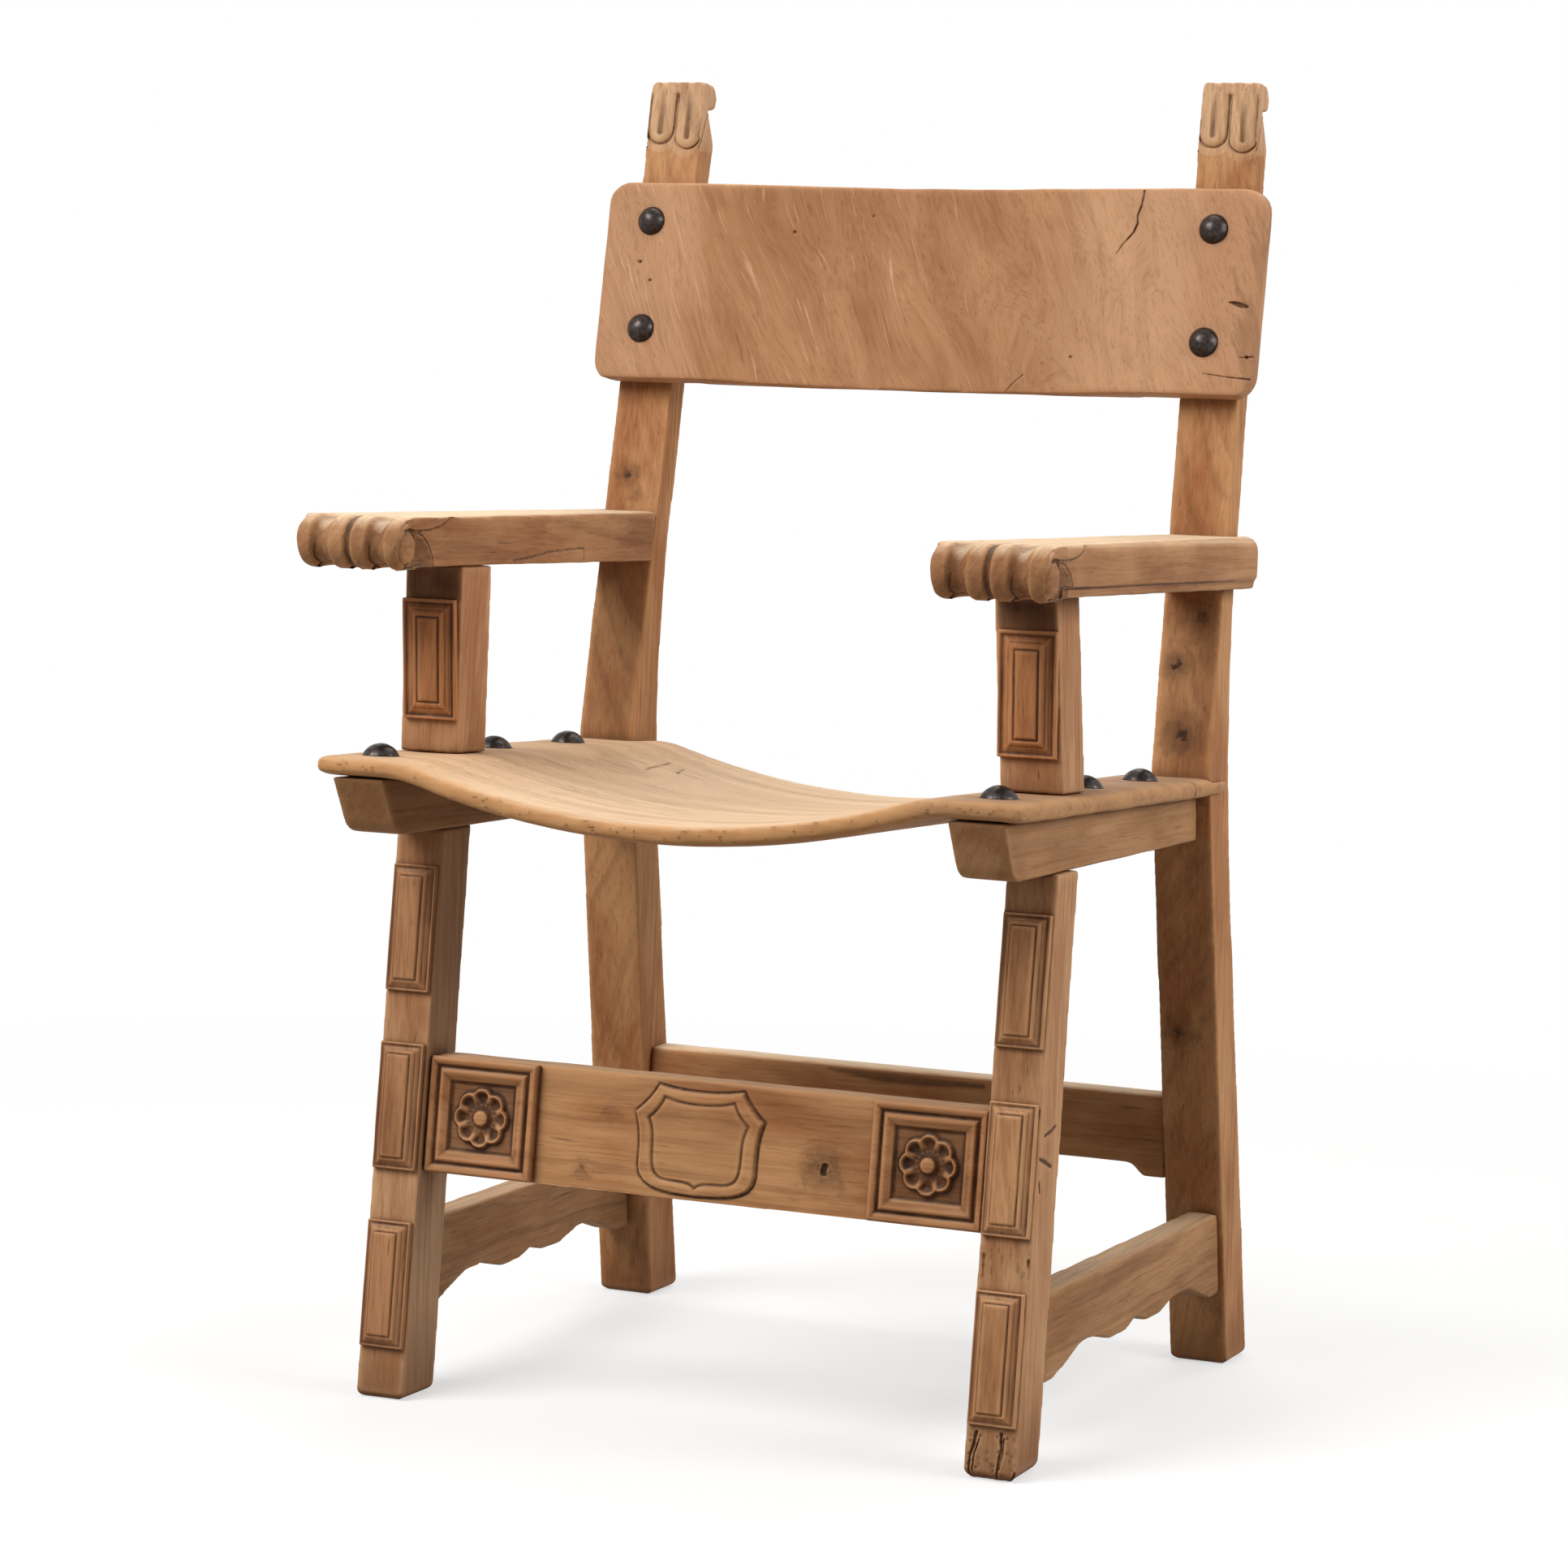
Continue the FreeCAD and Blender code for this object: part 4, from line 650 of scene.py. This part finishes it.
# On the arms' right-hand sides, a patch is let into the left one and a strip is glued under the right.
arm_marks = {"left": (((-114, 689.5), (-80, 692), (-42, 696), (0, 698), (34, 699), (34, 684)),),
             "right": (((-281, 693), (-100, 693.6), (154, 694)),)}
hollow_edge = ((-300, 713.5), (-289, 710.5), (-278, 703.7), (-271, 695), (-267.5, 683))
tongue_edge = ((-316, 714.8), (-300, 714.8), (-280, 715.4), (-263, 717.7), (-249, 721.5), (-237, 727))
for number, side, node in pair("armrest_"):
    arm = even_copy(node, 1.85)
    refine(arm, lambda places, normals: places[:, 1] < -232 * mm, 1)
    mesh = arm.data
    points = points_of(mesh)
    x, y, z = (points / mm).T
    # The ends of the front lobes are rounded off, from the top round the front to the underside.
    spread = np.hypot(y - scroll_y, z - scroll_z)
    angle = np.degrees(np.arctan2(z - scroll_z, scroll_y - y))
    front_share = unit((round_arc - abs(angle - arc_middle)) / 25)
    from_end = np.minimum(abs(x) - arm_inner, arm_outer - abs(x))
    a = np.clip((spread - scroll_radius) / end_round + 1, 0, None)
    b = np.clip(1 - from_end / end_round, 0, None)
    squeeze = np.maximum(a, b) / np.maximum(np.hypot(a, b), 1)
    squeeze = np.where((a > 0) & (b > 0), squeeze, 1)
    squeeze = 1 + (squeeze - 1) * front_share
    sideways = np.where(abs(x) - arm_inner < arm_outer - abs(x), -1, 1) * np.sign(x)
    inward = b * (1 - squeeze) * end_round
    shrink = 1 - a * (1 - squeeze) * end_round / np.maximum(spread, 1)
    points[:, 0] -= inward * sideways * mm
    points[:, 1] = (scroll_y + (y - scroll_y) * shrink) * mm
    points[:, 2] = (scroll_z + (z - scroll_z) * shrink) * mm
    # The coves between the lobes are deepened, round the front and back along the top.
    put_points(mesh, points)
    x, y, z = (points / mm).T
    across_arm = abs(x) - arm_inner
    from_cove = np.minimum(abs(across_arm - cove_spots[0]), abs(across_arm - cove_spots[1]))
    cove = unit(1 - (from_cove / cove_half) ** 2)
    round_front = (y < scroll_y + 2) & (abs(angle - arc_middle) < cove_arc)
    on_top = (y >= scroll_y + 2) & (normals_of(mesh)[:, 2] > 0.5)
    fade = np.where(round_front, 1, unit((cove_end - y) / 40) * on_top)
    away_y, away_z = np.where(round_front, scroll_y - y, 0), np.where(round_front, scroll_z - z, -1)
    stretch = np.maximum(np.hypot(away_y, away_z), 0.1)
    points[:, 1] += cove * fade * cove_depth * mm * away_y / stretch
    points[:, 2] += cove * fade * cove_depth * mm * away_z / stretch
    slit = np.clip(1.3 - abs(across_arm - (arm_outer - arm_inner) / 2) / 2.5, 0, 0.8)
    mark(mesh, "cut", np.maximum(0.12 * cove, slit) * fade)
    # The sides: the eye's dome, the hollow behind it and the sunk ground below the tongue.
    put_points(mesh, points)
    normals = normals_of(mesh)
    x, y, z = (points / mm).T
    flat = points[:, 1:] / mm
    reach = np.hypot(y - eye_y, z - eye_z)
    outline = np.array(hollow_edge + ((-316, 683), (eye_y, eye_z), (-306, 714)))
    behind_eye = within(flat, outline) & (reach > eye_radius)
    edge_gap = line_distance(flat, np.array(hollow_edge))
    dome = dome_fall * unit(reach / eye_radius) ** 3
    sink = np.where(reach < eye_radius, dome, 0)
    sink = np.where(behind_eye, hollow_depth + hollow_fall * unit(edge_gap / 16), sink)
    tongue_z = np.interp(y, *np.array(tongue_edge).T)
    ground = ground_depth * unit((tongue_z - z) / 1.5) * unit((ground_end - y) / 60)
    past_hollow = ~behind_eye & (reach > eye_radius) & (y > ground_front)
    sink = np.where(past_hollow, ground, sink)
    flank = (abs(normals[:, 0]) > 0.5) & (y < flank_end)
    points[flank, 0] -= (np.sign(normals[:, 0]) * sink)[flank] * mm
    # The hollow behind the eye is darkened: painted shade.
    mark(mesh, "cut", 0.55, flank & behind_eye)
    put_points(mesh, points)
    for way in (left, right):
        turn, round_eye = np.radians(np.linspace(-75, 115, 14)), eye_radius + 0.8
        ring = np.stack([eye_y + round_eye * np.cos(turn), eye_z + round_eye * np.sin(turn)], 1)
        score(arm, way, (ring,), 1.8, 1.8)
        score(arm, way, (hollow_edge, tongue_edge), 1.2, 1.0, dirt_and_shade=1)
    score(arm, right, arm_marks[side], 0.9, 1.1, dirt_and_shade=0.8)
    age(arm, 2, 0.6, 0.25, 61 + number)
    # The tops are paler, the left one more: bleached, and painted light.
    wood = walnut(node, along_chair, arm_tones, "hand_worn", seed=51.3 + number * 2.3, grime_and_shade=0.75,
                  bleach_and_top_light=0.75 if side == "right" else 0.95)
    fit(arm, node, wood)

# Back board
# One wide figured walnut plank, hollowed across and bolted to the posts, scratched and wiped smooth.
rosy = ("#ad7f59", "#9a6b47", "#704529", "#2f190c")
board_crack = ((198, 1024, 1), (196.5, 1012, 1), (193.4, 1003, 0.8), (194, 996, 1), (191.3, 988.9, 0.8),
               (187, 984, 0.6), (181.3, 978.2, 0.4), (176, 970, 0.3))
board_splits = (((311, 864, 2), (303, 864.5, 1.2), (290, 865.5, 0.8), (264.6, 868.4, 0.3)),
                ((79.2, 847, 0.6), (87, 856, 0.5), (96.3, 863.8, 0.3)),
                ((309, 884, 1.8), (303, 882.5, 1), (297, 883, 0.3)))
board_hole = ((284, 929.5, 0.3), (290, 928.3, 0.8), (295, 927, 1), (300, 926, 0.4))
along_figure = (0, radians(66), 0)
back = even_copy("back_board", 2)
score(back, front, (board_crack,), 0.9, 1.6, 2, dirt_and_shade=0.7)
score(back, front, board_splits, 0.8, 1.0, 2, dirt_and_shade=0.7)
score(back, front, (board_hole,), 2.6, 2.5, 2)
worm_holes = ((-271.7, 955.1), (-260.2, 938.4), (302.7, 883.2), (-131, 985), (-60, 1001), (140, 880))
score(back, front, [((x, z), (x + 1, z)) for x, z in worm_holes], 1.3, 1.2)
age(back, 2, 0.6, 0.35, 71)
wood = walnut("back_board", along_figure, rosy, "figured", pith=(0, 50, 25), ring_gap=16, seed=61.0,
              figure=52, ring_share=0.13, scratches=0.55, smoke=0.24, checks=0.2,
              knots=((-21, 0, 903.5, 26, 0.12),),
              zones=((0.08, 0.18, "#cfa47e", 0.55), (0.225, 0.26, "#ad7b58", 0.55),
                     (0.295, 0.31, "#7f5c40", 0.55), (-0.2, -0.235, "#bd9270", 0.45)))
fit(back, "back_board", wood)

# Front stretcher
# A walnut plank between the legs, with a plain shield carved in its middle.


def curve(start, *arcs):
    """Points of smooth curves that join on. Each arc is its two pulls and its end."""
    points = [start]
    for start_pull, end_pull, end in arcs:
        ends = (Vector(spot + (0,)) for spot in (start, start_pull, end_pull, end))
        points += [tuple(point.xy) for point in interpolate_bezier(*ends, 9)[1:]]
        start = end
    return points


leg_rake = 43.5 / 470
stretcher_low, stretcher_face = 187, -224.75
field_half, field_top = 60, 282
shield_rise, shield_swell, field_sink, groove_cut, ground_sink = 3.3, 0.6, 0.8, 1.2, 1.3
shield_middle = -3.4
# Half of the shield's outer edge and of its inner groove, from the foot up, in millimetres.
edge_half = curve((0, 190.5), ((14, 192), (51, 189), (51.5, 211)),
                  ((51.5, 222), (50, 240), (56.5, 254.5)), ((50, 259), (41, 269), (37, 277.5)),
                  ((24, 274.5), (10, 273.8), (0, 273.8)))
groove_half = curve((0, 197.5), ((5, 202.5), (14, 201.5), (24, 202)),
                    ((34, 202.5), (38.5, 207), (38.8, 222)), ((39, 236), (39, 242), (43.5, 250.5)),
                    ((38, 255), (33, 261), (30.5, 268)), ((20, 265), (10, 264), (0, 264)))
shield, groove = (np.array([(shield_middle + x, z) for x, z in half]
                           + [(shield_middle - x, z) for x, z in half[-2::-1]])
                  for half in (edge_half, groove_half))
stretcher = even_copy("front_stretcher", 1.7)


def stretcher_depth(places):
    """How far behind the plank's raked face a place is, in millimetres."""
    return places[:, 1] / mm - (stretcher_face + places[:, 2] / mm * leg_rake)


def shield_field(places, normals):
    return (abs(places[:, 0]) < (field_half + 2) * mm) & (stretcher_depth(places) < 5)


refine(stretcher, shield_field, 1)
mesh = stretcher.data
points = points_of(mesh)
behind = stretcher_depth(points)
face = (abs(points[:, 0]) < field_half * mm) & (behind < 3)
face &= (points[:, 2] > (stretcher_low + 1.5) * mm) & (points[:, 2] < field_top * mm)
points[face, 1] -= behind[face] * mm
points[face] = relaxed(points, ends_of(mesh), 6)[face]
points[face, 1] -= stretcher_depth(points)[face] * mm
flat = points[:, (0, 2)] / mm
outside, from_groove = line_distance(flat, shield), line_distance(flat, groove)
inside = within(flat, shield)
raised = shield_rise * unit(outside / 1.5) + shield_swell * unit(outside / 6)
raised -= field_sink * np.where(within(flat, groove), 1, unit(1 - from_groove / 3))
line = unit(1.15 - from_groove / 1.5)
height = np.where(inside, raised - groove_cut * line, -ground_sink * unit(1 - outside / 2.2))
points[face, 1] -= (height * mm)[face]
edge_dirt = np.where(inside, 0.3 * unit(1 - outside / 1.2), np.clip(1.1 - outside / 1.6, 0, 0.55))
edge_dirt = np.maximum(edge_dirt, np.where(inside, 0.1, 0))
mark(mesh, "cut", np.maximum(edge_dirt, 0.45 * line)[face], face)
put_points(mesh, points)
score(stretcher, front, (((105.4, 220), (106.6, 226)),), 2.6, 2.4)
age(stretcher, 1, 0.4, 0.3, 81)
wood = walnut("front_stretcher", across, honey, seed=71.0, corner_shade=1.6,
              knots=((106, -204.1, 223.8, 9, 1), (-104, -204, 202, 4, 0.7), (-83, -205, 250, 4, 0.6)))
fit(stretcher, "front_stretcher", wood)

# Rosette blocks
# Carved walnut squares, glued on the stretcher: a double moulded frame round a sunk field with an
# eight-petalled flower. Old dirt fills the grooves and the field, and the petals' hollows have painted
# shade.
umber = ("#b9855a", "#92603a", "#603819", "#2d1608")


def carved_tile(node, step, relief):
    """A planted block: a flat back, and a face cut to relief(u, v, half width, half height), which
    gives heights and darkening, from old dirt and painted shade. All its numbers are millimetres from
    the middle of the back."""
    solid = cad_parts[node].data
    backs = [poly for poly in solid.polygons if poly.normal.y > 0.8]
    out = -sum((poly.normal * poly.area for poly in backs), Vector()).normalized()
    up = (Vector((0, 0, 1)) - out * out.z).normalized()
    side_way = up.cross(out)
    turn = Matrix((side_way, up, out)).transposed()
    spots = np.array([turn.transposed() @ solid.vertices[i].co for poly in backs for i in poly.vertices])
    low, high = spots.min(axis=0), spots.max(axis=0)
    half = (high - low)[:2] / 2 / mm
    block = bmesh.new()
    counts = [int(round(2 * value / step)) for value in half]
    bmesh.ops.create_grid(block, x_segments=counts[0], y_segments=counts[1], size=1)
    rim = [edge for edge in block.edges if edge.is_boundary]
    walls = bmesh.ops.extrude_edge_only(block, edges=rim)["geom"]
    back_ring = [item for item in walls if isinstance(item, bmesh.types.BMVert)]
    bmesh.ops.contextual_create(block, geom=[e for e in block.edges if e.is_boundary])
    bmesh.ops.recalc_face_normals(block, faces=block.faces)
    block.verts.index_update()
    held = [vert.index for vert in back_ring]
    mesh = bpy.data.meshes.new("worn_" + node)
    block.to_mesh(mesh)
    block.free()
    tile = worn_piece(node, mesh)
    points = points_of(mesh)
    u, v = points[:, 0] * half[0], points[:, 1] * half[1]
    heights, dirt_and_shade = relief(u, v, half[0], half[1])
    heights[held] = 0
    put_points(mesh, np.stack([u, v, heights], 1) * mm)
    mark(mesh, "cut", dirt_and_shade)
    age(tile, 2, 0.5, 0.1, int(half[1]) + len(node))
    points = points_of(mesh)
    points[held, 2] = 0
    middle = (low + high) / 2
    place = turn.to_4x4()
    place.translation = turn @ Vector((middle[0], middle[1], high[2]))
    put_points(mesh, points)
    mesh.transform(place)
    mesh.update()
    return tile


frame_steps = (0, 1.0, 2.6, 5.5, 7.2, 7.9, 9.4, 10.4, 12.5, 16.0, 19.0, 19.9, 20.8)
frame_heights = (5.5, 7.9, 9.0, 8.2, 6.6, 4.6, 4.8, 7.6, 8.6, 7.4, 6.0, 3.4, 3.0)
petal_radius, petal_orbit, button_radius = 9.3, 15.0, 6.6


def rosette_relief(u, v, half_u, half_v):
    edge_gap = np.minimum(half_u - abs(u), half_v - abs(v))
    heights = np.interp(edge_gap, frame_steps, frame_heights)
    dirt_and_shade = np.maximum(0.9 * unit(1 - abs(edge_gap - 8.6) / 1.6), 0.45 * unit(1 - edge_gap / 3))
    dirt_and_shade = np.maximum(dirt_and_shade, 0.22 + 0.2 * unit((edge_gap - 14) / 5))
    field = unit((edge_gap - 19.2) / 1.2)
    dirt_and_shade = np.maximum(dirt_and_shade, field * (0.62 + 0.25 * unit(1 - (edge_gap - 20.5) / 2)))
    reach = np.hypot(u, v)
    petal = pi / 4
    swing = (np.arctan2(v, u) + petal / 2) % petal - petal / 2
    along, aside = reach * np.cos(swing), abs(reach * np.sin(swing))
    from_rim = np.where(along > petal_orbit, petal_radius - np.hypot(along - petal_orbit, aside), 9)
    inside = from_rim > 0
    ridge_gap = reach * (sin(petal / 2) - np.sin(abs(swing)))
    from_rim = np.minimum(from_rim, ridge_gap + 0.5)
    crest = 8.4 - 5.2 * unit((19.5 - reach) / 7.5)
    scoop = 4.6 * unit((from_rim - 1.5) / 3) ** 0.8 * np.clip((reach - 11) / 6, 0.1, 1)
    edge_fall = 1.4 * unit(1 - from_rim / 1.1)
    petals = crest - scoop - edge_fall
    heights = np.where(inside, petals, heights)
    shade = np.maximum(unit((from_rim - 1.6) / 2.5), np.clip((18 - reach) / 4.5, 0, 0.9))
    dirt_and_shade = np.where(inside, 0.8 * shade, dirt_and_shade)
    ring_gap = reach - button_radius
    heights = np.where((ring_gap > 0) & (ring_gap < 1.6), 4.2, heights)
    dirt_and_shade = np.where((ring_gap > -0.4) & (ring_gap < 1.8), 0.95, dirt_and_shade)
    button = 8.3 - 1.0 * (reach / button_radius) ** 4
    heights = np.where(ring_gap <= 0, button, heights)
    dirt_and_shade = np.where(ring_gap < -0.8, 0, dirt_and_shade)
    return heights, dirt_and_shade


for number, side, node in pair("rosette_block_"):
    square = carved_tile(node, 0.6, rosette_relief)
    wood = walnut(node, across, umber, "carved", seed=81.3 + number * 2.3, corner_shade=1.8)
    fit(square, node, wood)

# Panels
# Moulded walnut panels, glued on the legs and arm posts: a thin rim, a hollow moulding that climbs to
# a sharp crest, a fine groove and a flat raised tablet. The hollows hold dark old finish and painted
# shade, darker on the right and at the top.
rim_steps = (0, 0.04, 0.15, 0.21, 0.27, 0.42, 0.56, 0.60, 0.66, 0.80, 0.90, 0.96, 1.02, 1.12)
arm_rim = (3.6, 5.4, 5.6, 3.8, 3.4, 3.9, 5.6, 4.9, 6.2, 7.5, 7.7, 5.9, 7.8, 8.7)
leg_rim = (3.6, 5.1, 5.4, 4.0, 3.7, 4.1, 5.5, 4.9, 6.1, 7.2, 7.5, 5.8, 7.8, 8.7)
leg_moulding, arm_moulding = 10.0, 15.5
fawn = ("#c39266", "#9c6b46", "#673d21", "#2c1609")
russet = ("#b98053", "#925b36", "#5a3219", "#281409")
chestnut = ("#b17f57", "#895a39", "#5b351b", "#281409")
for number, node in enumerate(sorted(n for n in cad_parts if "panel" in n)):
    # The leg panels' mouldings are a little wider on the right.
    if "arm" in node:
        moulding, outer, cove_shade_and_dirt, rim_heights, tones = arm_moulding, 0, 0.8, arm_rim, russet
    else:
        moulding, outer, cove_shade_and_dirt, rim_heights = leg_moulding, 1.7, 0.75, leg_rim
        tones = chestnut if "left" in node else fawn

    def panel_relief(u, v, half_u, half_v):
        share = np.minimum((half_u - u) / (moulding + outer), (half_u + u) / (moulding - outer))
        share = np.minimum(share, (half_v - abs(v)) / moulding)
        heights = np.interp(share, rim_steps, rim_heights)
        dirt_and_shade = np.maximum(cove_shade_and_dirt * unit(1.1 - abs(share - 0.26) / 0.12),
                          0.8 * unit(1.2 - abs(share - 0.97) / 0.08))
        dirt_and_shade = np.maximum(dirt_and_shade, 0.5 * unit(1.2 - abs(share - 0.6) / 0.06))
        # The grooves are darker on the right and at the top than on the left and at the foot: painted
        # shade.
        shade_by_side = np.where((u < moulding - half_u) & (u + half_u < v + half_v), 0.5, 1)
        shade_by_side = np.where((v < moulding - half_v) & (u + half_u >= v + half_v), 0.8, shade_by_side)
        return heights, dirt_and_shade * shade_by_side * (0.8 + 0.2 * np.sin(v / 9 + number))

    panel = carved_tile(node, 0.7, panel_relief)
    wood = walnut(node, upright, tones, "carved", seed=91.3 + number * 2.3, corner_shade=1.8)
    fit(panel, node, wood)

# Rear stretcher
# A plain walnut stretcher, deeper where it meets the posts, with dark bark left on its front.
bark_edge = np.array(((-86, 234), (-60, 230), (-20, 225), (30, 225.5), (80, 228), (80, 235), (0, 236)))
rear = even_copy("rear_stretcher", 2.2)
places = points_of(rear.data)
flat = places[:, (0, 2)] / mm
bark = (normals_of(rear.data)[:, 1] < -0.5) & within(flat, bark_edge)
mark(rear.data, "cut", np.clip(line_distance(flat, bark_edge) / 2.5, 0, 0.85)[bark], bark)
age(rear, 2, 0.5, 0.3, 121)
# Its top is much paler: painted light, with some bleaching.
wood = walnut("rear_stretcher", across, honey, seed=101.0, bleach_and_top_light=2.0, smoke=0.15)
fit(rear, "rear_stretcher", wood)

# Side stretchers
# Low walnut boards whose lower edge is sawn in scallops.
for number, side, node in pair("side_stretcher_"):
    board = age(even_copy(node, 2), 2, 0.5, 0.3, 131 + number)
    wood = walnut(node, along_chair, weathered, seed=111.3 + number * 2.3)
    fit(board, node, wood)

# Studs
# Forged iron studs with hammered domes, waxed nearly black.
iron, tree, shader = new_material("forged_iron")
place = add(tree, "TexCoord").outputs["Object"]
scale_marks = add(tree, "TexNoise", {"Vector": place, "Scale": 260, "Detail": 3, "Roughness": 0.55})
oxide = add(tree, "MapRange", {"Value": scale_marks, "From Min": 0.35, "From Max": 0.7})
skin = add(tree, "Mix", {0: oxide, 6: tone("#423b38"), 7: tone("#231d1b")}, data_type="RGBA")
tree.links.new(skin.outputs[2], shader.inputs["Base Color"])
dull = add(tree, "MapRange", {"Value": scale_marks, "From Min": 0.3, "From Max": 0.7,
        "To Min": 0.26, "To Max": 0.42})
tree.links.new(dull.outputs[0], shader.inputs["Roughness"])
bump = add(tree, "Bump", {"Height": scale_marks, "Strength": 0.2, "Distance": 0.2 * mm})
tree.links.new(bump.outputs[0], shader.inputs["Normal"])
shader.inputs["Metallic"].default_value = 0.85
for number, node in enumerate(("seat_studs", "back_studs")):
    studs = even_copy(node, 0.8, crisp=True)
    mesh = studs.data
    points = points_of(mesh)
    hammered = unit(ripple(points, 9 * mm, 151 + number) - 0.2) * 0.18 * mm
    put_points(mesh, points - normals_of(mesh) * hammered[:, None])
    age(studs, 0, 0, 0, 141 + number)
    fit(studs, node, iron)

# Stage
# A plain pale floor that takes the chair's shadow and fades to white before its edge.
floor_radius, fade_start, fade_end = 9.0, 0.9, 2.4
sheet = bmesh.new()
bmesh.ops.create_circle(sheet, cap_ends=True, segments=96, radius=floor_radius)
floor_mesh = bpy.data.meshes.new("floor")
sheet.to_mesh(floor_mesh)
sheet.free()
floor = bpy.data.objects.new("floor", floor_mesh)
link(floor)
paper, tree, matt = new_material("white_paper")


def seen_rays(tree):
    """A node that gives 1 for what the eye sees, straight or in a reflection, and else 0."""
    ray = add(tree, "LightPath")
    return add(tree, "Math", {0: ray.outputs["Is Camera Ray"], 1: ray.outputs["Is Glossy Ray"]},
               "MAXIMUM")


seen = seen_rays(tree)
# Its colour is pale to the eye, and dull where it only throws light back up.
paint = add(tree, "Mix", {0: seen, 6: tone("#8f8a84"), 7: tone("#f4f3f1")}, data_type="RGBA")
tree.links.new(paint.outputs[2], matt.inputs["Base Color"])
matt.inputs["Roughness"].default_value = 0.9
place = add(tree, "TexCoord").outputs["Object"]
reach = add(tree, "VectorMath", {0: place}, "LENGTH").outputs["Value"]
far = add(tree, "MapRange", {"Value": reach, "From Min": fade_start, "From Max": fade_end,
        "To Min": 0.55}, **smooth)
amount = add(tree, "Math", {0: far, 1: seen}, "MULTIPLY")
white = add(tree, "Emission", {"Color": (1, 1, 1, 1), "Strength": 1})
blend = add(tree, "MixShader", {0: amount, 1: matt, 2: white})
tree.links.new(blend.outputs[0], tree.nodes["Material Output"].inputs["Surface"])
floor.data.materials.append(paper)
floor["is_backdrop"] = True

# Light
# Soft daylight from above and the right, as from a large window, over an even white surround.
surround_light = 0.18
world = bpy.data.worlds.new("surround")
bpy.context.scene.world = world
world.use_nodes = True
tree = world.node_tree
strength = add(tree, "MapRange", {"Value": seen_rays(tree), "To Min": surround_light, "To Max": 1.0})
tree.nodes["Background"].inputs["Color"].default_value = (1, 1, 1, 1)
tree.links.new(strength.outputs[0], tree.nodes["Background"].inputs["Strength"])
for name, spot, size, watts in (("front_window", (-1.8, -2.8, 3.3), 2.6, 205),
                                ("side_window", (3.0, 0.1, 1.9), 1.8, 72),
                                ("skylight", (0.1, 1.3, 3.2), 2.0, 48)):
    lamp = bpy.data.lights.new(name, "AREA")
    lamp.size, lamp.energy = size, watts
    holder = bpy.data.objects.new(name, lamp)
    holder.location = spot
    holder.rotation_euler = (Vector((0, 0, 0.55)) - Vector(spot)).to_track_quat("-Z", "Y").to_euler()
    link(holder)

# Camera
# It stands to the right of the chair's middle and a little above it, slightly tipped.
camera_turn, camera_rise, camera_roll = radians(22.449), radians(4.421), radians(2.159)
camera_distance, camera_lens = 3.506587, 96.62
aim = Vector((-0.009545, -0.03675, 0.51242))
away = Vector((sin(camera_turn) * cos(camera_rise), -cos(camera_turn) * cos(camera_rise),
               sin(camera_rise)))
level = Vector((cos(camera_turn), sin(camera_turn), 0))
rise = away.cross(level)
view_right = level * cos(camera_roll) + rise * sin(camera_roll)
view_up = rise * cos(camera_roll) - level * sin(camera_roll)
camera = bpy.data.objects.new("camera", bpy.data.cameras.new("camera"))
camera.data.lens, camera.data.sensor_width = camera_lens, 36
camera.matrix_world = (Matrix.Translation(aim + away * camera_distance)
                       @ Matrix((view_right, view_up, away)).transposed().to_4x4())
link(camera)
bpy.context.scene.camera = camera
bpy.context.scene.view_settings.view_transform = "Standard"

low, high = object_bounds()
